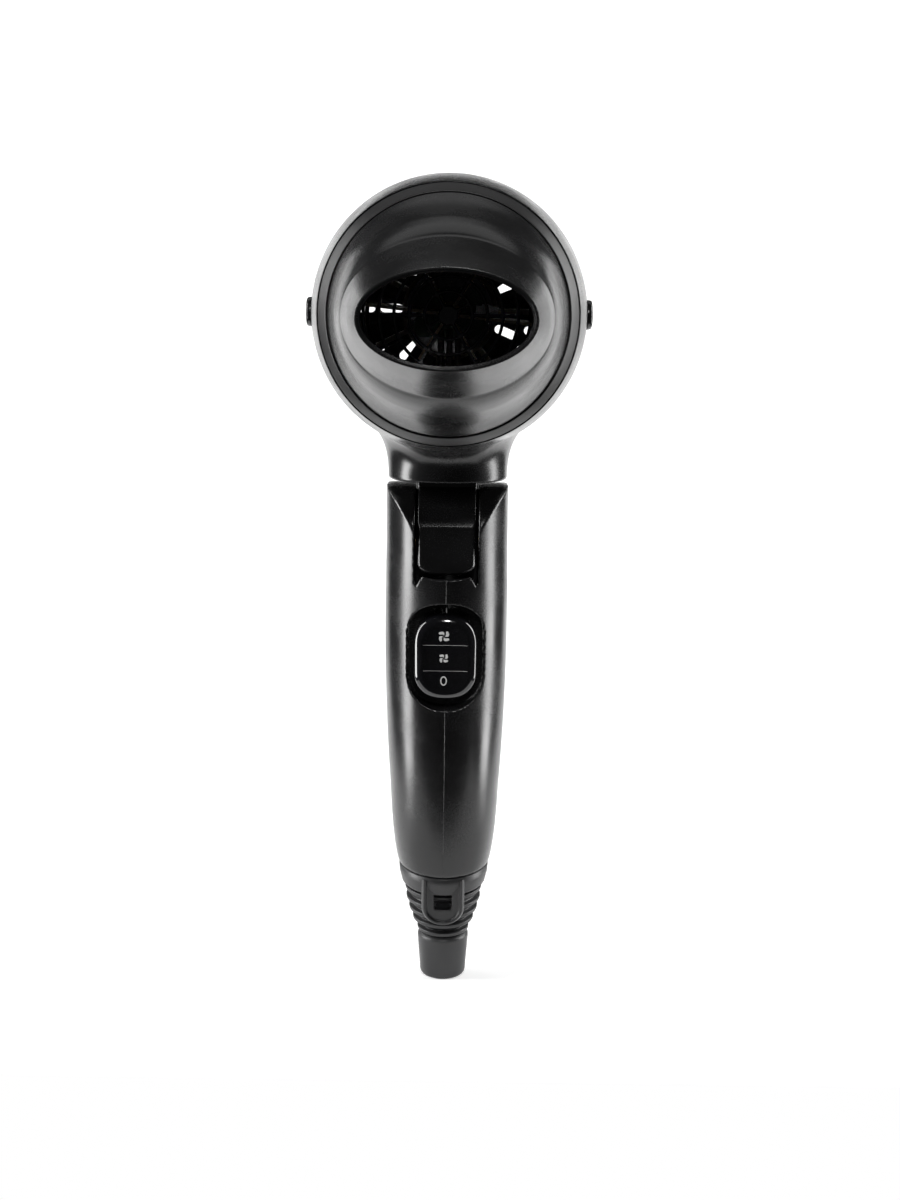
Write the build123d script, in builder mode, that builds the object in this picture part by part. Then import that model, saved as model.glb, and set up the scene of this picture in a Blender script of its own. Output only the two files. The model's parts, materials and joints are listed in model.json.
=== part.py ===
from build123d import *
import os
from math import cos, radians, sin

os.makedirs("parts", exist_ok=True)

# ---------------------------------------------------------------------------
# Driving dimensions, millimetres.  +Z is up, -Y is the way the air blows and
# X runs across.  The origin is the middle of the hand grip.
# ---------------------------------------------------------------------------
# places
GRIP_DROP = 50.0            # fold pivot to middle of the grip, along the handle
RAKE = 8.0                  # handle leans back from upright, degrees
AXIS_RISE = 64.5            # fold pivot up to the barrel axis

# barrel casing; "stations" run along the barrel axis, positive to the front
BARREL_R = 37.7             # largest outer radius
BARREL_WALL = 2.2
FRONT_STATION = 41.6        # front edge of the casing
FRONT_R = 34.2              # outer radius at that edge
REAR_STATION = -43.0        # rear edge of the casing
REAR_R = 36.6               # outer radius at that edge
INLET_DEPTH = 17.0          # rear cover, bulge behind the casing
INLET_WALL = 2.0

# outlet end
BAND_LENGTH = 4.4           # polished bevel ring, along the axis
OUTLET_R = 31.2             # bore of the polished ring
COLLAR_R = 28.0             # outlet collar that carries the nozzle
COLLAR_WALL = 1.6
GRILLE_DEPTH = 2.6
GRILLE_BAR = 0.85
GRILLE_HUB_R = 2.6
GRILLE_RINGS = 5
GRILLE_PITCH = 3.95
FLANGE = 2.0                # thickness of the flange that holds the grille

# concentrator nozzle
NOZZLE_LENGTH = 46.0
NOZZLE_WALL = 1.4
NOZZLE_SKIRT = 5.0          # length of the skirt over the outlet collar
NOZZLE_SLOT_W = 43.6        # air slot, outside
NOZZLE_SLOT_H = 24.6
NOZZLE_STEP = 0.9           # height of each of the two crescent steps
NOZZLE_SIDE_STEP = 0.25     # what is left of a step at the sides

# clearances
RUN = 0.30                  # between bodies that turn on each other
PIN_FIT = 0.05              # shaft or pin in its running hole
FIT = 0.10                  # loose fit inside one body
WIRE_GAP = 0.15             # between leads and what they pass

# heater
SLEEVE_R = 26.4
SLEEVE_WALL = 0.6
MICA = 0.8
HEATER_START = 2.0
HEATER_LENGTH = 34.0
WINDING_R = 22.3
WINDING_WIRE_R = 0.55
WINDING_TURNS = 5

# motor and fan
MOTOR_R = 12.0
MOTOR_LENGTH = 24.0
MOTOR_REAR = -30.4
CUP_WALL = 1.5
VANES = 7
VANE_THICK = 1.4
DUCT_R = 34.8               # bore of the casing around the fan
DUCT_WALL = 1.4
DUCT_LENGTH = 20.0
SHAFT_R = 1.0
END_CAP = 2.2
BOARD_THICK = 1.2
LEAD_R = 0.9
LEAD_BEND = 1.8             # centreline radius of a lead's bends
FAN_GAP = 1.0               # blade tip to duct
BOSS_L = 4.0                # pilot bosses of the inlet screws, clear of the blades
FAN_BLADES = 9
FAN_DEPTH = 7.0
FAN_HUB_R = 12.5

# fold hinge
LUG_R = 17.0
NECK_GAP = 1.4              # lug tops to the underside of the neck
KNUCKLE_HALF = 8.0
KNUCKLE_R = 18.3
KNUCKLE_FACE = 16.5         # pivot to the flat front face
TONGUE_DROP = 7.0           # pivot down to the end of the flat front face
KNUCKLE_BACK_R = 16.4
SWEEP_GAP = 0.4             # room that the knuckle has over its travel
HINGE_SLOT_HALF = 9.2
PIN_R = 2.5
PIN_HALF = 14.2
LIP_DROP = 5.4              # pivot down to the lip of the handle front
REAR_LIP = 3.0              # pivot up to the top of the rear wall
NECK_ROOT_FRONT = 7.3
NECK_ROOT_BACK = 15.0

# handle
HANDLE_A = 17.0             # half width at the pivot
HANDLE_B = 19.0             # half depth at the pivot
HANDLE_BOTTOM = 96.2        # pivot to the bottom edge, along the handle
SHELL_WALL = 2.0
FLOOR = 3.0                 # thickness of the handle's bottom
END_A = 13.2                # half width at the bottom edge
END_B = 15.6
BULGE = 0.45                # extra half width in the middle of the grip
SCREW_R = 1.45
SCREW_HEAD_R = 2.7
BOSS_R = 3.6

ANCHOR_R = 8.0              # neck of the strain relief through the floor
CLAMP_POST_R = 2.6
CLAMP_SCREW_R = 1.1
WINDOW_W = 13.0             # window in the pocket floor
WINDOW_L = 19.0

# switch
SWITCH_DROP = 28.2          # pivot to the rocker's middle, along the handle
POCKET_W = 21.4
POCKET_L = 31.2
POCKET_DEPTH = 5.2
ROCKER_W = 17.4
ROCKER_L = 24.4
ROCKER_AXLE_R = 1.6

# strain relief and cord bore
COLLAR_DROP = 6.0           # bell collar below the handle
RIB_PITCH = 3.3
RIBS = 5
RIB_TOP_R = 11.6
TUBE_R = 7.6
TUBE_END_R = 6.6
TUBE_LENGTH = 14.6
CORD_BORE_R = 3.6
LOOP_W = 12.4
LOOP_THICK = 3.0
LOOP_HOLE_W = 5.4
LOOP_HOLE_L = 8.2

# ---------------------------------------------------------------------------
# Places worked out from the driving dimensions
# ---------------------------------------------------------------------------
PIVOT_Y = -GRIP_DROP * sin(radians(RAKE))
PIVOT_Z = GRIP_DROP * cos(radians(RAKE))
AXIS_Z = PIVOT_Z + AXIS_RISE
NECK_BASE = LUG_R + NECK_GAP
BORE_R = DUCT_R + 1.2
DUCT_END = -12.0            # stations where the bore changes its taper
WAIST_STATION = 18.0
LEAD_STATION = MOTOR_REAR + MOTOR_LENGTH + END_CAP + BOARD_THICK + LEAD_R

pivot = Vector(0, PIVOT_Y, PIVOT_Z)
axis_origin = Vector(0, PIVOT_Y, AXIS_Z)
barrel_axis = Axis(axis_origin, (0, -1, 0))
pivot_axis = Axis(pivot, (1, 0, 0))

barrel = Plane(origin=axis_origin, x_dir=(1, 0, 0), z_dir=(0, -1, 0))
barrel_side = Plane(origin=axis_origin, x_dir=(0, -1, 0), z_dir=(-1, 0, 0))
head_side = Plane(origin=pivot, x_dir=(0, 1, 0), z_dir=(1, 0, 0))
head_level = Plane(origin=pivot, x_dir=(1, 0, 0), z_dir=(0, 0, 1))

handle_up = (0, -sin(radians(RAKE)), cos(radians(RAKE)))
handle_back = (0, cos(radians(RAKE)), sin(radians(RAKE)))
grip = Plane(origin=pivot, x_dir=(1, 0, 0), z_dir=handle_up)
grip_side = Plane(origin=pivot, x_dir=handle_back, z_dir=(1, 0, 0))
grip_front = Plane(origin=pivot, x_dir=(1, 0, 0), z_dir=tuple(-v for v in handle_back))
handle_axis = Axis(pivot, handle_up)


def outline(plane, points):
    """A closed face through straight-sided points on a plane."""
    with BuildSketch(plane) as shape:
        with BuildLine():
            Polyline(points, close=True)
        make_face()
    return shape.sketch


def radial_side(turn):
    """A plane through the barrel axis, turned about it from the level."""
    tilt = radians(turn)
    return Plane(origin=axis_origin, x_dir=(0, -1, 0), z_dir=(-sin(tilt), 0, cos(tilt)))


def save(builder, label, color):
    """Label one finished piece and write it as its own file."""
    builder.part.label = label
    builder.part.color = Color(*color)
    export_step(builder.part, f"parts/{label}.step")


SATIN = (0.10, 0.10, 0.105)
GLOSS = (0.03, 0.03, 0.035)
METAL = (0.70, 0.70, 0.72)
MICA_TONE = (0.83, 0.76, 0.62)
BRASS = (0.80, 0.66, 0.35)
COPPER = (0.78, 0.45, 0.28)
BOARD = (0.10, 0.35, 0.18)
WHITE = (0.85, 0.85, 0.83)


def casing_radius(station):
    """Outer radius of the barrel casing at a station: a gentle barrel shape."""
    if station > 0:
        share = station / FRONT_STATION
        return BARREL_R - (BARREL_R - FRONT_R) * share ** 2.4
    share = station / REAR_STATION
    return BARREL_R - (BARREL_R - REAR_R) * share ** 2


# ---------------------------------------------------------------------------
# Head: barrel casing with its neck and hinge knuckle
# ---------------------------------------------------------------------------
SEAT = FRONT_STATION - 1.6 - FLANGE      # ledge the grille flange sits on
SEAT_R = OUTLET_R + 0.2
FRONT_BORE_R = FRONT_R - 1.8
CAP_STATION = 15.0
CAP_R = 4.0
CAP_STEM_R = 2.0
CAP_PROUD = 1.1             # cap face beyond the largest radius

with BuildPart() as barrel_bore:
    with BuildSketch(barrel_side):
        with BuildLine():
            Polyline(
                (REAR_STATION - 1, 0), (REAR_STATION - 1, DUCT_R), (DUCT_END, DUCT_R),
                (DUCT_END + 4, BORE_R), (WAIST_STATION, BORE_R - 0.4), (SEAT - 2, SEAT_R),
                (SEAT, SEAT_R), (SEAT, FRONT_BORE_R),
                (FRONT_STATION + 1, FRONT_BORE_R), (FRONT_STATION + 1, 0), close=True,
            )
        make_face()
    revolve(axis=barrel_axis)

NECK_LEVELS = (
    (NECK_BASE, 16.6, 17.6), (NECK_BASE + 4.5, 16.7, 17.9), (NECK_BASE + 8.5, 17.2, 19.0),
    (NECK_BASE + 12.0, 18.9, 22.0), (NECK_BASE + 15.0, 21.6, 25.0), (NECK_BASE + 18.0, 23.6, 27.0),
)
with BuildPart() as neck_room:
    for height, half_width, half_depth in NECK_LEVELS:
        low = height + 2.4 if height == NECK_BASE else height
        with BuildSketch(head_level.offset(low)):
            Ellipse(half_width - 2.4, half_depth - 2.4)
    loft()

with BuildPart() as barrel_housing:
    with BuildSketch(barrel_side):
        with BuildLine():
            stations = [REAR_STATION + (FRONT_STATION - REAR_STATION) * i / 8 for i in range(9)]
            Spline([(s, casing_radius(s)) for s in stations])
            Polyline((FRONT_STATION, FRONT_R), (FRONT_STATION, 0), (REAR_STATION, 0), (REAR_STATION, REAR_R))
        make_face()
    revolve(axis=barrel_axis)
    for height, half_width, half_depth in NECK_LEVELS:
        with BuildSketch(head_level.offset(height)):
            Ellipse(half_width, half_depth)
    loft()
    add(neck_room.part, mode=Mode.SUBTRACT)
    add(barrel_bore.part, mode=Mode.SUBTRACT)
    # knuckle: flat front face, rounded top and back, and a root up to the neck
    with BuildSketch(head_side):
        Circle(KNUCKLE_R)
        with Locations((-KNUCKLE_FACE / 2, KNUCKLE_R - TONGUE_DROP)):
            Rectangle(KNUCKLE_FACE, 2 * KNUCKLE_R, mode=Mode.INTERSECT)
        Circle(KNUCKLE_BACK_R)
        with BuildLine():
            Polyline(
                (-NECK_ROOT_FRONT, 0), (NECK_ROOT_BACK, 0), (NECK_ROOT_BACK, NECK_BASE + 2.6),
                (-NECK_ROOT_FRONT, NECK_BASE + 2.6), close=True,
            )
        make_face()
    extrude(amount=KNUCKLE_HALF, both=True)
    # pin hole and the channel that the leads take past the pin
    with BuildSketch(head_side):
        Circle(PIN_R + PIN_FIT)
    extrude(amount=KNUCKLE_HALF + 1, both=True, mode=Mode.SUBTRACT)
    with BuildSketch(head_level.offset(NECK_BASE + 4)):
        with Locations((0, PIN_R + 5.5)):
            RectangleRounded(8, 6, 2)
    extrude(amount=-(NECK_BASE + 24), mode=Mode.SUBTRACT)
    # sockets for the round side caps
    for side in (-1, 1):
        start = axis_origin + Vector(side * (BARREL_R + 4), -CAP_STATION, 0)
        with BuildSketch(Plane(origin=start, x_dir=(0, 1, 0), z_dir=(-side, 0, 0))):
            Circle(CAP_STEM_R)
        extrude(amount=8, mode=Mode.SUBTRACT)
        with BuildSketch(Plane(origin=start, x_dir=(0, 1, 0), z_dir=(-side, 0, 0))):
            Circle(CAP_R + 0.25)
        extrude(amount=4.6, mode=Mode.SUBTRACT)
    # pilot bosses for the two inlet screws
    with BuildSketch(barrel.offset(REAR_STATION)):
        with PolarLocations(DUCT_R - 0.6, 2, start_angle=0):
            Circle(3.0)
    extrude(amount=BOSS_L)
    with BuildSketch(barrel.offset(REAR_STATION)):
        with PolarLocations(DUCT_R - 0.6, 2, start_angle=0):
            Circle(SCREW_R)
    extrude(amount=BOSS_L, mode=Mode.SUBTRACT)
save(barrel_housing, "barrel_housing", SATIN)

for side, label in ((-1, "side_cap_left"), (1, "side_cap_right")):
    inside = axis_origin + Vector(side * (BARREL_R - 0.6), -CAP_STATION, 0)
    face_plane = Plane(origin=inside, x_dir=(0, 1, 0), z_dir=(side, 0, 0))
    with BuildPart() as side_cap:
        with BuildSketch(face_plane):
            Circle(CAP_R)
        extrude(amount=CAP_PROUD + 0.6)
        fillet(side_cap.edges().group_by(Axis.X)[-1 if side > 0 else 0], radius=0.9)
        with BuildSketch(face_plane):
            Circle(CAP_STEM_R)
        extrude(amount=-2.0)
    save(side_cap, label, GLOSS)

# rear cover: a domed cap with three rows of intake slots and a spigot
dome_end = REAR_STATION - INLET_DEPTH
SPIGOT_R = DUCT_R
with BuildPart() as inlet_cover:
    with BuildSketch(barrel_side):
        with BuildLine():
            skin = [(REAR_STATION, REAR_R), (REAR_STATION - 9, REAR_R - 3.2), (dome_end + 2.2, 21.0)]
            Spline(skin + [(dome_end, 0)], tangents=((-1, -0.12), (0, -1)))
            Line((dome_end, 0), (dome_end + INLET_WALL, 0))
            inner = [(dome_end + INLET_WALL, 0), (dome_end + 4.0, 20.0), (REAR_STATION - 8.4, REAR_R - 5.4)]
            Spline(inner + [(REAR_STATION, REAR_R - INLET_WALL - 0.4)], tangents=((0, 1), (1, 0.12)))
            Line((REAR_STATION, REAR_R - INLET_WALL - 0.4), (REAR_STATION, REAR_R))
        make_face()
    revolve(axis=barrel_axis)
    for radius, count, length in ((9.5, 8, 7.0), (18.0, 16, 7.0), (26.0, 24, 6.0)):
        with BuildSketch(barrel.offset(dome_end - 1)):
            with PolarLocations(radius, count):
                SlotOverall(length, 2.6)
        extrude(amount=INLET_DEPTH + 0.6, mode=Mode.SUBTRACT)
    # spigot that enters the casing, and ears for the two screws
    with BuildSketch(barrel.offset(REAR_STATION - 1.0)):
        Circle(SPIGOT_R - FIT)
        Circle(SPIGOT_R - 1.7, mode=Mode.SUBTRACT)
    extrude(amount=4.0)
    with BuildSketch(barrel.offset(REAR_STATION)):
        with PolarLocations(DUCT_R - 0.6, 2):
            Circle(3.2)
    extrude(amount=6.0, mode=Mode.SUBTRACT)
    with BuildSketch(barrel.offset(REAR_STATION)):
        with PolarLocations(DUCT_R - 0.6, 2):
            Circle(3.0)
        Circle(REAR_R - 0.4, mode=Mode.INTERSECT)
    extrude(amount=-2.4)
    with BuildSketch(barrel.offset(REAR_STATION)):
        with PolarLocations(DUCT_R - 0.6, 2):
            Circle(SCREW_R)
    extrude(amount=-INLET_DEPTH, mode=Mode.SUBTRACT)
    with BuildSketch(barrel.offset(REAR_STATION - 2.0)):
        with PolarLocations(DUCT_R - 0.6, 2):
            Circle(SCREW_HEAD_R + 0.2)
    extrude(amount=-INLET_DEPTH, mode=Mode.SUBTRACT)
save(inlet_cover, "inlet_cover", SATIN)

with BuildPart() as inlet_screws:
    with BuildSketch(barrel.offset(REAR_STATION + BOSS_L - 0.4)):
        with PolarLocations(DUCT_R - 0.6, 2):
            Circle(SCREW_R)
    extrude(amount=-BOSS_L - 1.6)
    with BuildSketch(barrel.offset(REAR_STATION - 2.0)):
        with PolarLocations(DUCT_R - 0.6, 2):
            Circle(SCREW_HEAD_R)
    extrude(amount=-1.6)
    with BuildSketch(barrel.offset(REAR_STATION - 3.6)):
        with PolarLocations(DUCT_R - 0.6, 2):
            Rectangle(3.2, 0.7)
            Rectangle(0.7, 3.2)
    extrude(amount=0.9, mode=Mode.SUBTRACT)
save(inlet_screws, "inlet_screws", METAL)

# polished bevel ring around the outlet
band_front = FRONT_STATION + BAND_LENGTH
with BuildPart() as front_ring:
    revolve(
        outline(barrel_side, [
            (band_front, OUTLET_R), (band_front, OUTLET_R + 0.35), (FRONT_STATION + 0.5, FRONT_R - 0.4),
            (FRONT_STATION, FRONT_R - 0.4), (FRONT_STATION, FRONT_BORE_R), (SEAT + FLANGE, FRONT_BORE_R),
            (SEAT + FLANGE, OUTLET_R),
        ]),
        axis=barrel_axis,
    )
save(front_ring, "front_ring", GLOSS)

# outlet grille with the collar that carries the nozzle
grille_back = band_front - GRILLE_DEPTH
groove = (SEAT + FLANGE + 1.4, SEAT + FLANGE + 2.8)
with BuildPart() as outlet_grille:
    with BuildSketch(barrel.offset(grille_back)):
        Circle(COLLAR_R - 0.5)
        Circle(COLLAR_R - COLLAR_WALL, mode=Mode.SUBTRACT)
        for ring in range(GRILLE_RINGS, 0, -1):
            radius = GRILLE_HUB_R + GRILLE_PITCH * ring
            Circle(radius)
            Circle(radius - GRILLE_BAR, mode=Mode.SUBTRACT)
        Circle(GRILLE_HUB_R)
        with PolarLocations(GRILLE_HUB_R + GRILLE_PITCH / 2 - GRILLE_BAR / 2, 4, start_angle=30):
            Rectangle(GRILLE_PITCH, GRILLE_BAR)
        for gap in range(1, GRILLE_RINGS + 1):
            inner_r = GRILLE_HUB_R + GRILLE_PITCH * gap - GRILLE_BAR / 2
            outer_r = inner_r + GRILLE_PITCH if gap < GRILLE_RINGS else COLLAR_R - COLLAR_WALL + 0.3
            with PolarLocations((inner_r + outer_r) / 2, 6, start_angle=0 if gap < 4 else 30):
                Rectangle(outer_r - inner_r, GRILLE_BAR)
    extrude(amount=GRILLE_DEPTH)
    with BuildSketch(barrel_side):
        with BuildLine():
            Polyline(
                (SEAT, COLLAR_R - COLLAR_WALL), (band_front, COLLAR_R - COLLAR_WALL), (band_front, COLLAR_R),
                (groove[1], COLLAR_R), (groove[1], COLLAR_R - 0.8), (groove[0], COLLAR_R - 0.8),
                (groove[0], COLLAR_R), (SEAT + FLANGE, COLLAR_R), (SEAT + FLANGE, FRONT_BORE_R),
                (SEAT, FRONT_BORE_R), close=True,
            )
        make_face()
    revolve(axis=barrel_axis)
save(outlet_grille, "outlet_grille", GLOSS)

# mica sleeve around the heater
sleeve_rear = -8.0
with BuildPart() as mica_sleeve:
    with BuildSketch(barrel.offset(sleeve_rear)):
        Circle(SLEEVE_R)
        Circle(SLEEVE_R - SLEEVE_WALL, mode=Mode.SUBTRACT)
    extrude(amount=grille_back - sleeve_rear)
    with BuildSketch(Plane(origin=axis_origin + Vector(0, -LEAD_STATION, 0), z_dir=(0, 0, -1))):
        RectangleRounded(9, 5, 1)
    extrude(amount=BARREL_R, mode=Mode.SUBTRACT)
save(mica_sleeve, "mica_sleeve", MICA_TONE)

# star of three crossed mica boards, waisted where the wire is wound
heater_end = HEATER_START + HEATER_LENGTH
waist = WINDING_R - WINDING_WIRE_R - 0.04
with BuildPart() as mica_boards:
    for turn in (-6, 57, 120):
        with BuildSketch(radial_side(turn)):
            with BuildLine():
                edge = SLEEVE_R - SLEEVE_WALL - 0.02
                half = [
                    (HEATER_START, edge), (HEATER_START + 4, edge), (HEATER_START + 6, waist),
                    (heater_end - 6, waist), (heater_end - 4, edge), (heater_end, edge),
                ]
                Polyline(half + [(x, -y) for x, y in reversed(half)], close=True)
            make_face()
        extrude(amount=MICA / 2, both=True)
save(mica_boards, "mica_boards", MICA_TONE)

# heating wire wound around the star
winding_start = HEATER_START + 7.5
winding_pitch = (HEATER_LENGTH - 15) / WINDING_TURNS
with BuildPart() as heating_coil:
    with BuildLine() as winding:
        Helix(
            pitch=winding_pitch, height=winding_pitch * WINDING_TURNS, radius=WINDING_R,
            center=axis_origin + Vector(0, -winding_start, 0), direction=(0, -1, 0),
        )
    with BuildSketch(Plane(origin=winding.line @ 0, z_dir=winding.line % 0)):
        Circle(WINDING_WIRE_R)
    sweep(is_frenet=True)
save(heating_coil, "heating_coil", METAL)

# thermostat and one-shot fuse, clipped to the faces of the level board
safety_plane = radial_side(-6)
with BuildPart() as thermostat:
    with BuildSketch(safety_plane.offset(MICA / 2)):
        with Locations((HEATER_START + 12, 10)):
            Rectangle(9, 6)
    extrude(amount=2.6)
    with BuildSketch(safety_plane.offset(MICA / 2 + 2.6)):
        with Locations((HEATER_START + 12, 10)):
            Rectangle(12, 3)
    extrude(amount=0.4)
save(thermostat, "thermostat", METAL)

with BuildPart() as thermal_fuse:
    fuse_start = safety_plane.offset(-MICA / 2 - 1.3).from_local_coords(Vector(HEATER_START + 8, -10, 0))
    with BuildSketch(Plane(origin=fuse_start, z_dir=(0, -1, 0))):
        Circle(1.3)
    extrude(amount=9)
    with BuildSketch(Plane(origin=fuse_start - Vector(0, -3, 0), z_dir=(0, -1, 0))):
        Circle(0.4)
    extrude(amount=15)
save(thermal_fuse, "thermal_fuse", METAL)

# motor mount: duct ring, straightening vanes and the motor's cup
cup_r = MOTOR_R + CUP_WALL
duct_rear = REAR_STATION + 12.0
cup_rear = MOTOR_REAR - CUP_WALL
with BuildPart() as motor_mount:
    with BuildSketch(barrel_side):
        with BuildLine():
            Polyline(
                (duct_rear, DUCT_R - DUCT_WALL), (duct_rear, DUCT_R), (-12.0, DUCT_R),
                (sleeve_rear + 2.0, SLEEVE_R + DUCT_WALL), (sleeve_rear + 2.0, SLEEVE_R),
                (sleeve_rear, SLEEVE_R), (-13.0, DUCT_R - DUCT_WALL), close=True,
            )
        make_face()
    revolve(axis=barrel_axis)
    with BuildSketch(barrel.offset(duct_rear + 1)):
        with PolarLocations((cup_r + DUCT_R) / 2 - 0.6, VANES):
            Rectangle(DUCT_R - cup_r, VANE_THICK)
    extrude(amount=-13.0 - duct_rear - 1)
    with BuildSketch(barrel.offset(cup_rear)):
        Circle(cup_r)
    extrude(amount=MOTOR_LENGTH - 2)
    with BuildSketch(barrel.offset(MOTOR_REAR)):
        Circle(MOTOR_R)
    extrude(amount=MOTOR_LENGTH, mode=Mode.SUBTRACT)
    with BuildSketch(barrel.offset(cup_rear - 1)):
        Circle(3.4)
    extrude(amount=CUP_WALL + 2, mode=Mode.SUBTRACT)
save(motor_mount, "motor_mount", WHITE)

# motor: can, end cap, bushes, armature and shaft
motor_front = MOTOR_REAR + MOTOR_LENGTH
BUSH_R = 3.0
with BuildPart() as motor_can:
    with BuildSketch(barrel.offset(MOTOR_REAR)):
        Circle(MOTOR_R)
    extrude(amount=MOTOR_LENGTH)
    with BuildSketch(barrel.offset(MOTOR_REAR + 1.2)):
        Circle(MOTOR_R - 3.4)
    extrude(amount=MOTOR_LENGTH, mode=Mode.SUBTRACT)
    with BuildSketch(barrel.offset(MOTOR_REAR - 1)):
        Circle(BUSH_R)
    extrude(amount=4, mode=Mode.SUBTRACT)
save(motor_can, "motor_can", METAL)

with BuildPart() as motor_end_cap:
    with BuildSketch(barrel.offset(motor_front)):
        Circle(MOTOR_R)
        Circle(BUSH_R, mode=Mode.SUBTRACT)
    extrude(amount=END_CAP)
save(motor_end_cap, "motor_end_cap", GLOSS)

for label, start in (("rear_bush", MOTOR_REAR - 1.0), ("front_bush", motor_front - 0.6)):
    with BuildPart() as bush:
        with BuildSketch(barrel.offset(start)):
            Circle(BUSH_R)
            Circle(SHAFT_R + PIN_FIT, mode=Mode.SUBTRACT)
        extrude(amount=2.8)
    save(bush, label, BRASS)

with BuildPart() as armature:
    with BuildSketch(barrel.offset(MOTOR_REAR + 5)):
        with PolarLocations(5.2, 3):
            RectangleRounded(4.4, 6.4, 0.8)
        Circle(4.4)
        Circle(SHAFT_R, mode=Mode.SUBTRACT)
    extrude(amount=10)
    with BuildSketch(barrel.offset(MOTOR_REAR + 15)):
        Circle(2.6)
        Circle(SHAFT_R, mode=Mode.SUBTRACT)
    extrude(amount=4)
save(armature, "armature", COPPER)

fan_rear = duct_rear - 1.4 - FAN_DEPTH
with BuildPart() as motor_shaft:
    with BuildSketch(barrel.offset(fan_rear + 0.6)):
        Circle(SHAFT_R)
    extrude(amount=motor_front + 1.6 - fan_rear - 0.6)
save(motor_shaft, "motor_shaft", METAL)

fan_r = DUCT_R - 1.7 - FAN_GAP
with BuildPart() as fan_impeller:
    with BuildSketch(barrel.offset(fan_rear)):
        Circle(FAN_HUB_R)
    extrude(amount=FAN_DEPTH)
    with BuildSketch(barrel.offset(fan_rear + 1.6)):
        Circle(FAN_HUB_R - 1.4)
        Circle(SHAFT_R + 1.8, mode=Mode.SUBTRACT)
    extrude(amount=FAN_DEPTH, mode=Mode.SUBTRACT)
    for blade in range(FAN_BLADES):
        turn = 360 / FAN_BLADES * blade
        spoke = Plane(
            origin=axis_origin + Vector(0, -(fan_rear + FAN_DEPTH / 2), 0),
            x_dir=(-sin(radians(turn)), 0, cos(radians(turn))),
            z_dir=(cos(radians(turn)), 0, sin(radians(turn))),
        )
        with BuildSketch(spoke.offset(FAN_HUB_R - 0.8)):
            Rectangle(8.0, 1.2, rotation=38)
        with BuildSketch(spoke.offset(fan_r)):
            Rectangle(10.5, 1.0, rotation=26)
        loft()
    with BuildSketch(barrel.offset(fan_rear - 5)):
        Circle(fan_r + 8)
        Circle(fan_r, mode=Mode.SUBTRACT)
    extrude(amount=FAN_DEPTH + 10, mode=Mode.SUBTRACT)
    with BuildSketch(barrel.offset(fan_rear)):
        Circle(SHAFT_R)
    extrude(amount=FAN_DEPTH, mode=Mode.SUBTRACT)
save(fan_impeller, "fan_impeller", GLOSS)

# rectifier board on the front of the motor
rectifier_base = motor_front + END_CAP
with BuildPart() as rectifier_board:
    with BuildSketch(barrel.offset(rectifier_base)):
        RectangleRounded(20, 14, 1)
        Circle(BUSH_R + 0.2, mode=Mode.SUBTRACT)
    extrude(amount=BOARD_THICK)
    with BuildSketch(barrel.offset(rectifier_base + BOARD_THICK)):
        with GridLocations(14, 4.6, 2, 2):
            Rectangle(4.2, 2.2)
    extrude(amount=1.8)
save(rectifier_board, "rectifier_board", BOARD)

# ---------------------------------------------------------------------------
# Concentrator nozzle: round base, two crescent steps, oval slot
# ---------------------------------------------------------------------------
nozzle_base = band_front + RUN
nozzle_end = nozzle_base + NOZZLE_LENGTH
slot_a = NOZZLE_SLOT_W / 2
slot_b = NOZZLE_SLOT_H / 2
SKIRT_OUT = OUTLET_R - RUN
SKIRT_IN = COLLAR_R + RUN
BASE_R = OUTLET_R - 0.1
STAGES = (
    (0.0, BASE_R, BASE_R, 0.29, 28.6, 25.4),
    (0.29, 28.6 - NOZZLE_SIDE_STEP, 25.4 - NOZZLE_STEP, 0.49, 26.7, 20.9),
    (0.49, 26.7 - NOZZLE_SIDE_STEP, 20.9 - NOZZLE_STEP, 1.0, slot_a, slot_b),
)
with BuildPart() as nozzle_room:
    inner_levels = [(s, a - NOZZLE_WALL, b - NOZZLE_WALL) for s, a, b, _, _, _ in STAGES]
    inner_levels.append((1.0, slot_a - NOZZLE_WALL, slot_b - NOZZLE_WALL))
    inner_levels[0] = (0.0, SKIRT_IN, SKIRT_IN)
    for low, high in zip(inner_levels[:-1], inner_levels[1:]):
        for share, half_w, half_h in (low, high):
            with BuildSketch(barrel.offset(nozzle_base + NOZZLE_LENGTH * share)):
                Ellipse(half_w, half_h)
        loft(ruled=True)

with BuildPart() as concentrator:
    for s0, a0, b0, s1, a1, b1 in STAGES:
        for share, half_w, half_h in ((s0, a0, b0), (s1, a1, b1)):
            with BuildSketch(barrel.offset(nozzle_base + NOZZLE_LENGTH * share)):
                Ellipse(half_w, half_h)
        loft(ruled=True)
    with BuildSketch(barrel.offset(nozzle_base)):
        Circle(SKIRT_OUT)
    extrude(amount=-NOZZLE_SKIRT)
    with BuildSketch(barrel.offset(nozzle_base)):
        Circle(SKIRT_IN)
    extrude(amount=-NOZZLE_SKIRT, mode=Mode.SUBTRACT)
    add(nozzle_room.part, mode=Mode.SUBTRACT)
    # snap bead that rides in the collar's groove
    revolve(
        outline(barrel_side, [
            (groove[0] + RUN, SKIRT_IN + 0.4), (groove[0] + RUN, SKIRT_IN - 0.5),
            (groove[1] - RUN, SKIRT_IN - 0.5), (groove[1] - RUN, SKIRT_IN + 0.4),
        ]),
        axis=barrel_axis,
    )
    chamfer(concentrator.edges().group_by(Axis.Y)[0], length=0.35)
save(concentrator, "concentrator", SATIN)

# ---------------------------------------------------------------------------
# Fold hinge
# ---------------------------------------------------------------------------
with BuildPart() as hinge_pin:
    with BuildSketch(grip_side):
        Circle(PIN_R)
    extrude(amount=PIN_HALF, both=True)
    chamfer(hinge_pin.edges().filter_by(GeomType.CIRCLE), length=0.4)
save(hinge_pin, "hinge_pin", METAL)

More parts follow.
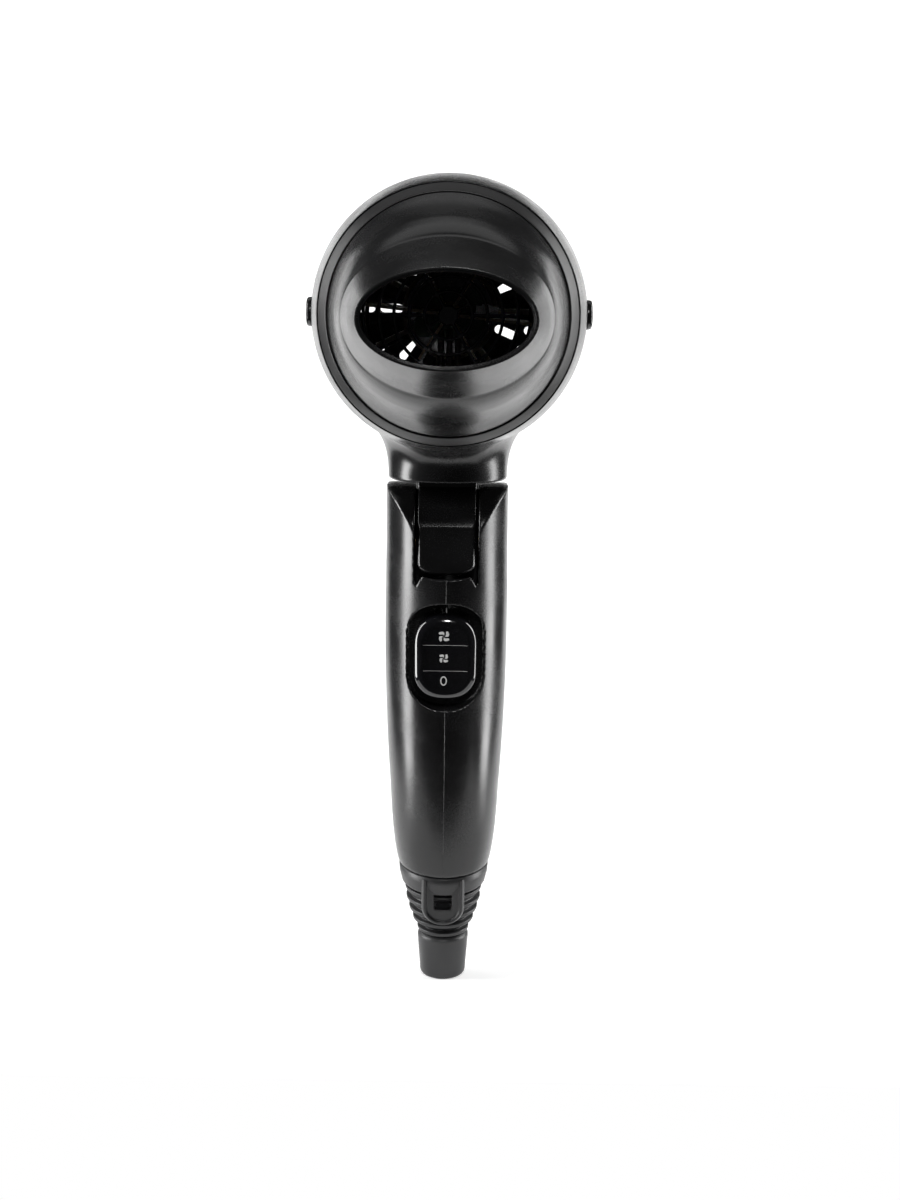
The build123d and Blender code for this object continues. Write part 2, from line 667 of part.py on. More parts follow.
with BuildPart() as hinge_washers:
    for side in (-1, 1):
        with BuildSketch(grip_side.offset(side * (KNUCKLE_HALF + 0.1))):
            Circle(6.0)
            Circle(PIN_R, mode=Mode.SUBTRACT)
        extrude(amount=side * (HINGE_SLOT_HALF - KNUCKLE_HALF - 0.1))
save(hinge_washers, "hinge_washers", BRASS)

# ---------------------------------------------------------------------------
# Handle shells
# ---------------------------------------------------------------------------
def handle_section(height):
    """Half width and half depth of the handle at a height below the pivot."""
    share = min(1.0, max(0.0, -height / HANDLE_BOTTOM))
    sides = []
    for top, end, corner in ((HANDLE_A, END_A, 1.2), (HANDLE_B, END_B, 0.9)):
        sides.append(top - (top - end - corner) * share ** 2.4 - corner * share ** 16)
    sides[0] += BULGE * sin(radians(180 * min(1.0, share / 0.75)))
    return sides


handle_heights = [-HANDLE_BOTTOM * (1 - i / 12) for i in range(13)]
with BuildPart() as handle_skin:
    for height in handle_heights:
        with BuildSketch(grip.offset(height)):
            Ellipse(*handle_section(height))
    loft()
    with BuildSketch(grip):
        Ellipse(HANDLE_A, HANDLE_B)
    extrude(amount=LUG_R + 2)

room_top = -PIN_R - 9.5
room_bottom = -HANDLE_BOTTOM + FLOOR
with BuildPart() as handle_room:
    for step in range(11):
        height = room_bottom + (room_top - room_bottom) * step / 10
        half_width, half_depth = handle_section(height)
        with BuildSketch(grip.offset(height)):
            Ellipse(half_width - SHELL_WALL, half_depth - SHELL_WALL)
    loft()

# what stays above the pivot: two round lugs and a low rear wall
with BuildPart() as lug_envelope:
    with BuildSketch(grip_side):
        Circle(LUG_R)
    extrude(amount=HANDLE_A + 1, both=True)
    with BuildSketch(grip):
        Rectangle(60, 60)
    extrude(amount=-HANDLE_BOTTOM - 2)
    with BuildSketch(grip):
        with Locations((0, 15)):
            Rectangle(2 * HINGE_SLOT_HALF, 30)
    extrude(amount=REAR_LIP + 1)

CLAMP_X = 2.6               # face of the clamp posts, past the split
CLAMP_DROP = 74.0
CLAMP_PLACES = ((-7.4, -CLAMP_DROP), (7.4, -CLAMP_DROP))
SCREW_PLACES = ((7.5, -58.0), (9.4, -84.0), (12.6, -33.0))
SWITCH_FRONT = 18.2         # handle skin in front of the switch, from the axis
with BuildPart() as switch_pocket:
    with BuildSketch(grip_front.offset(SWITCH_FRONT - POCKET_DEPTH)):
        with Locations((0, -SWITCH_DROP)):
            RectangleRounded(POCKET_W, POCKET_L, POCKET_W / 2 - 0.5)
    extrude(amount=POCKET_DEPTH + 4)
with BuildPart() as pocket_wall:
    with BuildSketch(grip_front.offset(SWITCH_FRONT - POCKET_DEPTH - SHELL_WALL)):
        with Locations((0, -SWITCH_DROP)):
            RectangleRounded(POCKET_W + 3, POCKET_L + 3, POCKET_W / 2 + 1)
    extrude(amount=POCKET_DEPTH + SHELL_WALL + 4)
    add(handle_skin.part, mode=Mode.INTERSECT)

shells = ((-1, "handle_shell_left", Keep.BOTTOM), (1, "handle_shell_right", Keep.TOP))
for side, label, keep in shells:
    with BuildPart() as handle_shell:
        add(handle_skin.part)
        add(lug_envelope.part, mode=Mode.INTERSECT)
        add(handle_room.part, mode=Mode.SUBTRACT)
        add(pocket_wall.part)
        add(switch_pocket.part, mode=Mode.SUBTRACT)
        # bosses that take the screws across the split
        with BuildSketch(grip_side):
            with Locations(*SCREW_PLACES):
                Circle(BOSS_R)
        extrude(amount=HANDLE_A - 1.6 - 1.0, both=True)
        add(handle_skin.part, mode=Mode.INTERSECT)
        # room for the knuckle to turn between the lugs
        with BuildSketch(grip_side):
            Circle(KNUCKLE_R + RUN)
            with Locations((-KNUCKLE_R, 0)):
                Rectangle(2 * KNUCKLE_R + 14, 3 * KNUCKLE_R, mode=Mode.INTERSECT)
            Circle(KNUCKLE_BACK_R + RUN)
        extrude(amount=HINGE_SLOT_HALF, both=True, mode=Mode.SUBTRACT)
        with BuildSketch(grip_side):
            with Locations((-15, -LIP_DROP + 15)):
                Rectangle(30, 30)
        extrude(amount=HINGE_SLOT_HALF, both=True, mode=Mode.SUBTRACT)
        with BuildSketch(grip_side):
            with Locations((15, REAR_LIP + 10)):
                Rectangle(30.2, 20)
        extrude(amount=HINGE_SLOT_HALF, both=True, mode=Mode.SUBTRACT)
        with BuildSketch(grip_side):
            Circle(PIN_R)
        extrude(amount=PIN_HALF + 0.2, both=True, mode=Mode.SUBTRACT)
        # opening for the strain relief's neck
        with BuildSketch(grip.offset(-HANDLE_BOTTOM)):
            Circle(ANCHOR_R)
        extrude(amount=FLOOR, mode=Mode.SUBTRACT)
        # window in the pocket floor for the rocker's axle cheeks
        with BuildSketch(grip_front.offset(SWITCH_FRONT - POCKET_DEPTH - SHELL_WALL)):
            with Locations((0, -SWITCH_DROP)):
                Rectangle(WINDOW_W, WINDOW_L)
        extrude(amount=SHELL_WALL + 1, mode=Mode.SUBTRACT)
        # screw holes, with head recesses on the right
        with BuildSketch(grip_side):
            with Locations(*SCREW_PLACES):
                Circle(SCREW_R)
        extrude(amount=8.0, both=True, mode=Mode.SUBTRACT)
        if side > 0:
            with BuildSketch(grip_side.offset(8.0)):
                with Locations(*SCREW_PLACES):
                    Circle(SCREW_HEAD_R + 0.15)
            extrude(amount=HANDLE_A, mode=Mode.SUBTRACT)
        split(bisect_by=Plane.YZ, keep=keep)
        # posts and saddle for the cord clamp stand on the left shell
        if side < 0:
            with BuildSketch(grip_side.offset(CLAMP_X)):
                with Locations(*CLAMP_PLACES):
                    Circle(CLAMP_POST_R)
            extrude(amount=-CLAMP_X - 13.0)
            with BuildSketch(grip_side.offset(CLAMP_X)):
                with Locations(*CLAMP_PLACES):
                    Circle(CLAMP_SCREW_R)
            extrude(amount=-7.0, mode=Mode.SUBTRACT)
    save(handle_shell, label, SATIN)

with BuildPart() as handle_screws:
    with BuildSketch(grip_side.offset(8.0)):
        with Locations(*SCREW_PLACES):
            Circle(SCREW_HEAD_R)
    extrude(amount=1.8)
    with BuildSketch(grip_side.offset(8.0)):
        with Locations(*SCREW_PLACES):
            Circle(SCREW_R)
    extrude(amount=-15.6)
    with BuildSketch(grip_side.offset(9.8)):
        with Locations(*SCREW_PLACES):
            Rectangle(3.2, 0.7)
            Rectangle(0.7, 3.2)
    extrude(amount=-1.0, mode=Mode.SUBTRACT)
save(handle_screws, "handle_screws", METAL)


with BuildPart() as cord_clamp:
    with BuildSketch(grip_side.offset(CLAMP_X)):
        with Locations((0, -CLAMP_DROP)):
            SlotOverall(14.8 + 2 * CLAMP_POST_R, 2 * CLAMP_POST_R)
        with Locations(*CLAMP_PLACES):
            Circle(CLAMP_SCREW_R, mode=Mode.SUBTRACT)
    extrude(amount=2.4)
save(cord_clamp, "cord_clamp", GLOSS)

with BuildPart() as clamp_screws:
    with BuildSketch(grip_side.offset(CLAMP_X + 2.4)):
        with Locations(*CLAMP_PLACES):
            Circle(2.1)
    extrude(amount=1.4)
    with BuildSketch(grip_side.offset(CLAMP_X + 2.4)):
        with Locations(*CLAMP_PLACES):
            Circle(CLAMP_SCREW_R)
    extrude(amount=-8.4)
    with BuildSketch(grip_side.offset(CLAMP_X + 3.8)):
        with Locations(*CLAMP_PLACES):
            Rectangle(2.6, 0.6)
            Rectangle(0.6, 2.6)
    extrude(amount=-0.8, mode=Mode.SUBTRACT)
save(clamp_screws, "clamp_screws", METAL)

# ---------------------------------------------------------------------------
# Switch: body behind the pocket, terminals, and the rocker in front
# ---------------------------------------------------------------------------
POCKET_FLOOR = SWITCH_FRONT - POCKET_DEPTH
floor_back = POCKET_FLOOR - SHELL_WALL
AXLE_FRONT = POCKET_FLOOR - 0.6
BODY_DEPTH = 9.0
CHEEK = 1.6
TERMINAL_W = 4.8
TERMINAL_THICK = 0.8
TERMINAL_STEPS = (7.0, 0.0, -7.0)
axle_point = grip.from_local_coords(Vector(0, -AXLE_FRONT, -SWITCH_DROP))
rocker_side = Plane(origin=axle_point, x_dir=handle_back, z_dir=(1, 0, 0))

with BuildPart() as switch_body:
    with BuildSketch(grip_front.offset(floor_back)):
        with Locations((0, -SWITCH_DROP)):
            RectangleRounded(WINDOW_W + 3, WINDOW_L + 3, 1.5)
    extrude(amount=-BODY_DEPTH)
    with BuildSketch(grip_front.offset(floor_back)):
        with Locations((0, -SWITCH_DROP)):
            Rectangle(WINDOW_W - 2 * CHEEK, WINDOW_L - 1.6)
    extrude(amount=-BODY_DEPTH + 2.0, mode=Mode.SUBTRACT)
    # two cheeks that carry the rocker's axle
    for side in (-1, 1):
        with BuildSketch(rocker_side.offset(side * (WINDOW_W / 2 - FIT - CHEEK))):
            with Locations((1.0, 0)):
                RectangleRounded(5.6, 6.4, 1.6)
        extrude(amount=side * CHEEK)
    with BuildSketch(rocker_side):
        Circle(ROCKER_AXLE_R + PIN_FIT)
    extrude(amount=WINDOW_W / 2 + 1.0, both=True, mode=Mode.SUBTRACT)
    with BuildSketch(grip_front.offset(floor_back - BODY_DEPTH)):
        for step in TERMINAL_STEPS:
            with Locations((0, -SWITCH_DROP + step)):
                Rectangle(TERMINAL_W, TERMINAL_THICK)
    extrude(amount=2.0, mode=Mode.SUBTRACT)
    # upper corner relieved, so that the knuckle passes it when the handle folds
    with BuildSketch(head_side):
        Circle(KNUCKLE_R + SWEEP_GAP)
    extrude(amount=WINDOW_W, both=True, mode=Mode.SUBTRACT)
save(switch_body, "switch_body", GLOSS)

with BuildPart() as switch_terminals:
    with BuildSketch(grip_front.offset(floor_back - BODY_DEPTH + 3.4)):
        for step in TERMINAL_STEPS:
            with Locations((0, -SWITCH_DROP + step)):
                Rectangle(TERMINAL_W, TERMINAL_THICK)
    extrude(amount=-9.4)
save(switch_terminals, "switch_terminals", BRASS)

CAP_UNDER = POCKET_FLOOR + 2.0
CAP_FACE = SWITCH_FRONT + 1.2
with BuildPart() as switch_rocker:
    with BuildSketch(grip_front.offset(CAP_UNDER)):
        with Locations((0, -SWITCH_DROP)):
            RectangleRounded(ROCKER_W, ROCKER_L, ROCKER_W / 2 - 0.6)
    extrude(amount=CAP_FACE - CAP_UNDER)
    chamfer(switch_rocker.faces().sort_by(Axis(pivot, grip_front.z_dir))[-1].edges(), length=1.0)
    stem_half = WINDOW_W / 2 - CHEEK - FIT - RUN
    with BuildSketch(rocker_side):
        Circle(ROCKER_AXLE_R + 1.0)
        with Locations((-2.0, 0)):
            Rectangle(4.4, 4.0)
    extrude(amount=stem_half, both=True)
    with BuildSketch(rocker_side):
        Circle(ROCKER_AXLE_R)
    extrude(amount=WINDOW_W / 2 - FIT, both=True)
save(switch_rocker, "switch_rocker", GLOSS)

# ---------------------------------------------------------------------------
# Strain relief: bell collar, hanging loop, ribs, tube, anchor inside
# ---------------------------------------------------------------------------
collar_low = -HANDLE_BOTTOM - COLLAR_DROP
tube_top = collar_low - RIB_PITCH * RIBS + 0.6
tube_low = tube_top - TUBE_LENGTH
loop_face = END_B - 1.0
with BuildPart() as strain_relief:
    for height, half_width, half_depth in (
        (-HANDLE_BOTTOM, END_A, END_B), (-HANDLE_BOTTOM - COLLAR_DROP / 2, END_A - 0.3, END_B - 0.7),
        (collar_low, END_A - 1.0, END_B - 1.7),
    ):
        with BuildSketch(grip.offset(height)):
            Ellipse(half_width, half_depth)
    loft()
    # ribs on a shrinking cone, then the plain tube
    for rib in range(RIBS):
        share = rib / (RIBS - 1)
        rib_r = RIB_TOP_R - (RIB_TOP_R - TUBE_R - 0.3) * share ** 1.6
        top = collar_low - RIB_PITCH * rib
        with BuildSketch(grip.offset(top)):
            Circle(rib_r - 1.5)
        with BuildSketch(grip.offset(top - RIB_PITCH)):
            Circle(rib_r - 2.1)
        loft()
        with BuildSketch(grip.offset(top - 1.2)):
            Circle(rib_r)
        with BuildSketch(grip.offset(top - RIB_PITCH + 0.2)):
            Circle(rib_r - 0.8)
        loft()
    with BuildSketch(grip.offset(tube_top)):
        Circle(TUBE_R)
    with BuildSketch(grip.offset(tube_low)):
        Circle(TUBE_END_R)
    loft()
    fillet(strain_relief.edges().sort_by(handle_axis)[0], radius=1.6)
    # anchor: neck through the floor and a flange inside the handle
    with BuildSketch(grip.offset(-HANDLE_BOTTOM)):
        Circle(ANCHOR_R)
    extrude(amount=FLOOR)
    with BuildSketch(grip.offset(-HANDLE_BOTTOM + FLOOR)):
        Circle(ANCHOR_R + 2.6)
    extrude(amount=2.6)
    # hanging loop in front of the ribs
    loop_top = -HANDLE_BOTTOM - 0.8
    loop_low = -HANDLE_BOTTOM - 15.4
    with BuildSketch(grip_front.offset(loop_face - LOOP_THICK)):
        with Locations((0, (loop_top + loop_low) / 2 + 2)):
            RectangleRounded(LOOP_W, loop_top - loop_low + 4, LOOP_W / 2 - 0.8)
        with Locations((0, loop_top + 10)):
            Rectangle(40, 20, mode=Mode.SUBTRACT)
    extrude(amount=LOOP_THICK)
    with BuildSketch(grip_front.offset(CORD_BORE_R + 2.6)):
        with Locations((0, -HANDLE_BOTTOM - 2.4 - LOOP_HOLE_L / 2)):
            RectangleRounded(LOOP_HOLE_W, LOOP_HOLE_L, LOOP_HOLE_W / 2 - 0.9)
    extrude(amount=14, mode=Mode.SUBTRACT)
    with BuildSketch(grip.offset(-HANDLE_BOTTOM + FLOOR + 3)):
        Circle(CORD_BORE_R)
    extrude(amount=-60, mode=Mode.SUBTRACT)
save(strain_relief, "strain_relief", SATIN)

# ---------------------------------------------------------------------------
# Leads.  They stop either side of the hinge, where the real ones flex.
# ---------------------------------------------------------------------------
channel_y = PIN_R + 5.5
lead_y = -LEAD_STATION
with BuildPart() as head_leads:
    for across in (-2.4, 0.0, 2.4):
        with BuildLine(head_side.offset(across)) as route:
            FilletPolyline(
                (lead_y, AXIS_RISE - 5.0), (lead_y, AXIS_RISE - SLEEVE_R - 2.0),
                (channel_y, NECK_BASE + 3.0), (channel_y, -8.0), radius=LEAD_BEND + 1.0,
            )
        with BuildSketch(Plane(origin=route.line @ 0, z_dir=route.line % 0)):
            Circle(LEAD_R)
        sweep()
save(head_leads, "head_leads", COPPER)

terminal_tip = -(floor_back - BODY_DEPTH + 3.4 - 9.4)
lead_back = terminal_tip + LEAD_BEND + 0.8
with BuildPart() as handle_leads:
    upper = -SWITCH_DROP + TERMINAL_STEPS[0]
    lower = -SWITCH_DROP + TERMINAL_STEPS[2]
    for across in (-1.2, 1.2):
        with BuildLine(grip_side.offset(across)) as route:
            FilletPolyline(
                (terminal_tip + WIRE_GAP, upper), (lead_back, upper), (lead_back, -LUG_R - 0.6),
                radius=LEAD_BEND,
            )
        with BuildSketch(Plane(origin=route.line @ 0, z_dir=route.line % 0)):
            Circle(LEAD_R)
        sweep()
    for across in (-1.2, 1.2):
        with BuildLine(grip_side.offset(across)) as route:
            FilletPolyline(
                (terminal_tip + WIRE_GAP, lower), (lead_back, lower), (lead_back, lower - 6.0),
                (0.4, lower - 20.0), (0.4, -HANDLE_BOTTOM + FLOOR + 8.0), radius=LEAD_BEND,
            )
        with BuildSketch(Plane(origin=route.line @ 0, z_dir=route.line % 0)):
            Circle(LEAD_R)
        sweep()
save(handle_leads, "handle_leads", COPPER)
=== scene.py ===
import json
from math import cos, pi, radians, sin, sqrt

import bmesh
import bpy
import numpy as np
from mathutils import Matrix, Vector


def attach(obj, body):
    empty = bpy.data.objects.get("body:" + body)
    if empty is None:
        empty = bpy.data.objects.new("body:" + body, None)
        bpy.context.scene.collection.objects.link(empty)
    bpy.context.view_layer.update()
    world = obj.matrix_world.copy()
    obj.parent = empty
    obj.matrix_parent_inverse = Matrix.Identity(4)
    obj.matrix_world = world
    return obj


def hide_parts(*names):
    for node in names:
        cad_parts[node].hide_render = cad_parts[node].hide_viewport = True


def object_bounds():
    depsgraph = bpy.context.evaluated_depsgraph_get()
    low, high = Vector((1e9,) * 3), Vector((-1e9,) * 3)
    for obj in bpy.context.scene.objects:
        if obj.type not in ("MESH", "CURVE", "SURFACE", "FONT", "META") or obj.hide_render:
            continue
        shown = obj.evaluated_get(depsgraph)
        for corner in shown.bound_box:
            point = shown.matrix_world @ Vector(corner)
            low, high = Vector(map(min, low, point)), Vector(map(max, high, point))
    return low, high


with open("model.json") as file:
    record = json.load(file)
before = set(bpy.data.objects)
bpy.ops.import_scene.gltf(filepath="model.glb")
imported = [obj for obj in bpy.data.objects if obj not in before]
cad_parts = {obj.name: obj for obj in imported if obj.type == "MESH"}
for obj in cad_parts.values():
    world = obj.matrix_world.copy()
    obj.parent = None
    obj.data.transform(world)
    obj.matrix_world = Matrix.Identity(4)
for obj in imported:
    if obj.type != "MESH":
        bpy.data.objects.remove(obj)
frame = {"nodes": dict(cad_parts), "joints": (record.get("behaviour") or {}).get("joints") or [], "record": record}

CAD_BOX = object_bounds()
MM = 0.001

# ---------------------------------------------------------------------------
# Places, from the frame
# ---------------------------------------------------------------------------
JOINTS = {joint["name"]: joint for joint in frame["joints"]}
PIVOT = Vector(JOINTS["handle_fold"]["pos_m"])
AXIS = PIVOT + Vector((0, 0, 0.0645))
RAKE = radians(8.0)
GRIP = Matrix.Translation(PIVOT) @ Matrix.Rotation(RAKE, 4, "X")
HEAD = Matrix.Translation(PIVOT)
BARREL = Matrix.Translation(AXIS) @ Matrix(
    ((1, 0, 0, 0), (0, 0, -1, 0), (0, 1, 0, 0), (0, 0, 0, 1)))


# ---------------------------------------------------------------------------
# Mesh tools.  Every shape is drawn in millimetres on one of the frames above.
# ---------------------------------------------------------------------------
def make_piece(name, verts, faces, place, body, smooth=True):
    """A mesh object from millimetre points, put at a place and tied to a body."""
    mesh = bpy.data.meshes.new(name)
    points = [place @ Vector((x * MM, y * MM, z * MM)) for x, y, z in verts]
    mesh.from_pydata(points, [], faces)
    mesh.validate()
    mesh.shade_smooth() if smooth else mesh.shade_flat()
    piece = bpy.data.objects.new(name, mesh)
    bpy.context.scene.collection.objects.link(piece)
    tidy_normals(piece)
    if body:
        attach(piece, body)
    return piece


def tidy_normals(piece):
    """Make every face of a closed mesh point outwards."""
    work = bmesh.new()
    work.from_mesh(piece.data)
    bmesh.ops.remove_doubles(work, verts=work.verts, dist=1e-6)
    bmesh.ops.recalc_face_normals(work, faces=work.faces)
    work.to_mesh(piece.data)
    work.free()


def lofted(rings, loop=False):
    """Vertices and faces through rings of equal length.

    A loop joins the last ring to the first; otherwise both ends are capped.
    """
    count = len(rings[0])
    verts = [tuple(p) for ring in rings for p in ring]
    faces = []
    spans = len(rings) if loop else len(rings) - 1
    for i in range(spans):
        a, b = i * count, ((i + 1) % len(rings)) * count
        for j in range(count):
            k = (j + 1) % count
            faces.append((a + j, a + k, b + k, b + j))
    if not loop:
        faces.append(tuple(range(count)))
        faces.append(tuple(range(len(verts) - 1, len(verts) - count - 1, -1)))
    return verts, faces


def squared(value, power):
    """A sine or cosine, bent so that an ellipse becomes squarer as the power rises."""
    return abs(value) ** (2 / power) * (1 if value >= 0 else -1)


def ellipse_ring(a, b, height, count=128, power=2.0):
    """Points of an ellipse, or of a squarer curve, at a height."""
    points = []
    for i in range(count):
        t = 2 * pi * i / count
        points.append((a * squared(cos(t), power), b * squared(sin(t), power), height))
    return points


def merged(shapes):
    """Several (verts, faces) shapes as one."""
    verts, faces = [], []
    for some, links in shapes:
        faces += [tuple(len(verts) + i for i in face) for face in links]
        verts += some
    return verts, faces


def lathe(profile, count=160):
    """A closed profile of (station, radius) pairs turned about the local z axis."""
    rings = [ellipse_ring(r, r, s, count) for s, r in profile]
    return lofted(rings, loop=True)


def soften(path, steps=4):
    """A closed path with rounded corners; each point's last number is its corner's size."""
    out = []
    count = len(path)
    for i, point in enumerate(path):
        here, size = np.array(point[:-1]), point[-1]
        before = np.array(path[i - 1][:-1]) - here
        after = np.array(path[(i + 1) % count][:-1]) - here
        if size <= 0:
            out.append(tuple(here))
            continue
        start = here + before * min(size / np.linalg.norm(before), 0.48)
        end = here + after * min(size / np.linalg.norm(after), 0.48)
        for k in range(steps + 1):
            t = k / steps
            out.append(tuple((1 - t) ** 2 * start + 2 * t * (1 - t) * here + t * t * end))
    return out


def apply_modifiers(piece):
    """Bake a piece's modifiers into its mesh."""
    graph = bpy.context.evaluated_depsgraph_get()
    mesh = bpy.data.meshes.new_from_object(piece.evaluated_get(graph))
    piece.modifiers.clear()
    piece.data = mesh


def cut(piece, tool, how="DIFFERENCE"):
    """Cut a piece with a tool, or join the two; the tool is then removed."""
    change = piece.modifiers.new("cut", "BOOLEAN")
    change.operation = how
    change.object = tool
    change.solver = "EXACT"
    apply_modifiers(piece)
    bpy.data.objects.remove(tool)


def remeshed(piece, voxel, smooth=4, keep=0.5):
    """Round a cut solid's edges the way a mould does.

    Fine voxels, a little smoothing, then fewer faces.
    """
    change = piece.modifiers.new("voxels", "REMESH")
    change.mode = "VOXEL"
    change.voxel_size = voxel * MM
    change.use_smooth_shade = True
    apply_modifiers(piece)
    change = piece.modifiers.new("smooth", "SMOOTH")
    change.factor = 0.5
    change.iterations = smooth
    if keep < 1:
        change = piece.modifiers.new("fewer", "DECIMATE")
        change.ratio = keep
    apply_modifiers(piece)
    piece.data.shade_smooth()


# ---------------------------------------------------------------------------
# Materials
# ---------------------------------------------------------------------------
def new_material(name):
    """A node material, its tree and its shader."""
    material = bpy.data.materials.new(name)
    material.use_nodes = True
    tree = material.node_tree
    return material, tree, tree.nodes["Principled BSDF"]


def noise(tree, scale, detail=4.0, rough=0.6):
    """A noise field in the object's own coordinates; scale is in cycles per metre."""
    where = tree.nodes.new("ShaderNodeTexCoord")
    field = tree.nodes.new("ShaderNodeTexNoise")
    field.inputs["Scale"].default_value = scale
    field.inputs["Detail"].default_value = detail
    field.inputs["Roughness"].default_value = rough
    tree.links.new(where.outputs["Object"], field.inputs["Vector"])
    return field.outputs["Fac"]


def spread(tree, value, low, high, start=0.3, end=0.7):
    """Map a field from start..end onto low..high."""
    node = tree.nodes.new("ShaderNodeMapRange")
    node.inputs["From Min"].default_value = start
    node.inputs["From Max"].default_value = end
    node.inputs["To Min"].default_value = low
    node.inputs["To Max"].default_value = high
    tree.links.new(value, node.inputs["Value"])
    return node.outputs["Result"]


def tones(tree, value, dark, light):
    """A colour that runs between two tones with a field."""
    node = tree.nodes.new("ShaderNodeMix")
    node.data_type = "RGBA"
    node.inputs[6].default_value = (*dark, 1)
    node.inputs[7].default_value = (*light, 1)
    tree.links.new(value, node.inputs["Factor"])
    return node.outputs[2]


def bump(tree, height, distance, strength=1.0, under=None):
    """A bump from a height field, in metres; under is a normal that it adds to."""
    node = tree.nodes.new("ShaderNodeBump")
    node.inputs["Distance"].default_value = distance
    node.inputs["Strength"].default_value = strength
    tree.links.new(height, node.inputs["Height"])
    if under is not None:
        tree.links.new(under, node.inputs["Normal"])
    return node.outputs["Normal"]


def edge_field(tree, low=0.5, high=0.58):
    """One along outer edges and nought on flats, for wear."""
    shape = tree.nodes.new("ShaderNodeNewGeometry")
    return spread(tree, shape.outputs["Pointiness"], 0.0, 1.0, low, high)


def moulded(name, dark, light, rough, spread_by=0.06, grain=3200, depth=0.00002,
            coat=0.0, wear=0.25):
    """Moulded plastic: fine grain, cloudy gloss, flow marks and slightly polished edges."""
    material, tree, shader = new_material(name)
    cloud = noise(tree, 60, 3, 0.5)
    speck = noise(tree, grain, 2, 0.7)
    edges = edge_field(tree)
    colour = tones(tree, spread(tree, cloud, 0.0, 1.0), dark, light)
    worn = tree.nodes.new("ShaderNodeMix")
    worn.data_type = "RGBA"
    worn.inputs[7].default_value = (*[min(1, c * 1.6 + 0.01) for c in light], 1)
    tree.links.new(colour, worn.inputs[6])
    tree.links.new(spread(tree, edges, 0.0, wear, 0.0, 1.0), worn.inputs["Factor"])
    tree.links.new(worn.outputs[2], shader.inputs["Base Color"])
    blend = tree.nodes.new("ShaderNodeMath")
    blend.operation = "ADD"
    tree.links.new(spread(tree, cloud, rough - spread_by, rough + spread_by), blend.inputs[0])
    tree.links.new(spread(tree, speck, -spread_by / 2, spread_by / 2), blend.inputs[1])
    tree.links.new(blend.outputs[0], shader.inputs["Roughness"])
    fine = bump(tree, speck, depth)
    tree.links.new(bump(tree, noise(tree, 140, 2, 0.5), 0.00004, 0.25, fine), shader.inputs["Normal"])
    shader.inputs["IOR"].default_value = 1.5
    shader.inputs["Coat Weight"].default_value = coat
    shader.inputs["Coat Roughness"].default_value = 0.08
    return material


def polished(name, dark, light, rough=0.07, ripple=0.00002):
    """Polished plastic: deep gloss with faint ripple, dust and hairline marks."""
    material, tree, shader = new_material(name)
    cloud = noise(tree, 45, 3, 0.5)
    dust = noise(tree, 900, 6, 0.75)
    tree.links.new(tones(tree, spread(tree, cloud, 0.0, 1.0), dark, light), shader.inputs["Base Color"])
    tree.links.new(spread(tree, dust, rough * 0.6, rough * 2.4, 0.35, 0.75), shader.inputs["Roughness"])
    tree.links.new(bump(tree, noise(tree, 120, 2, 0.5), ripple, 0.3), shader.inputs["Normal"])
    shader.inputs["IOR"].default_value = 1.52
    shader.inputs["Coat Weight"].default_value = 0.3
    shader.inputs["Coat Roughness"].default_value = 0.04
    return material


def metal(name, dark, light, rough=0.28, brushed=(1, 1, 1), scale=700):
    """Bare or plated metal with tool marks and a slight tarnish."""
    material, tree, shader = new_material(name)
    where = tree.nodes.new("ShaderNodeTexCoord")
    stretch = tree.nodes.new("ShaderNodeMapping")
    stretch.inputs["Scale"].default_value = brushed
    marks = tree.nodes.new("ShaderNodeTexNoise")
    marks.inputs["Scale"].default_value = scale
    marks.inputs["Detail"].default_value = 5
    tree.links.new(where.outputs["Object"], stretch.inputs["Vector"])
    tree.links.new(stretch.outputs["Vector"], marks.inputs["Vector"])
    tarnish = noise(tree, 180, 4, 0.6)
    colour = tones(tree, spread(tree, tarnish, 0.0, 1.0), dark, light)
    tree.links.new(colour, shader.inputs["Base Color"])
    gloss = spread(tree, marks.outputs["Fac"], rough * 0.7, rough * 1.5)
    tree.links.new(gloss, shader.inputs["Roughness"])
    tree.links.new(bump(tree, marks.outputs["Fac"], 0.000012, 0.6), shader.inputs["Normal"])
    shader.inputs["Metallic"].default_value = 1.0
    return material


def mica_board(name):
    """Pressed mica: pale gold flakes with a soft sheen."""
    material, tree, shader = new_material(name)
    where = tree.nodes.new("ShaderNodeTexCoord")
    flakes = tree.nodes.new("ShaderNodeTexVoronoi")
    flakes.inputs["Scale"].default_value = 420
    tree.links.new(where.outputs["Object"], flakes.inputs["Vector"])
    cloud = noise(tree, 260, 5, 0.6)
    value = tree.nodes.new("ShaderNodeMath")
    value.operation = "MULTIPLY"
    tree.links.new(cloud, value.inputs[0])
    tree.links.new(spread(tree, flakes.outputs["Distance"], 0.7, 1.2, 0.0, 0.8), value.inputs[1])
    tree.links.new(
        tones(tree, spread(tree, value.outputs[0], 0.0, 1.0), (0.42, 0.33, 0.22), (0.80, 0.72, 0.58)),
        shader.inputs["Base Color"],
    )
    gloss = spread(tree, flakes.outputs["Distance"], 0.25, 0.6, 0.0, 0.8)
    tree.links.new(gloss, shader.inputs["Roughness"])
    tree.links.new(bump(tree, flakes.outputs["Distance"], 0.00003, 0.5), shader.inputs["Normal"])
    return material


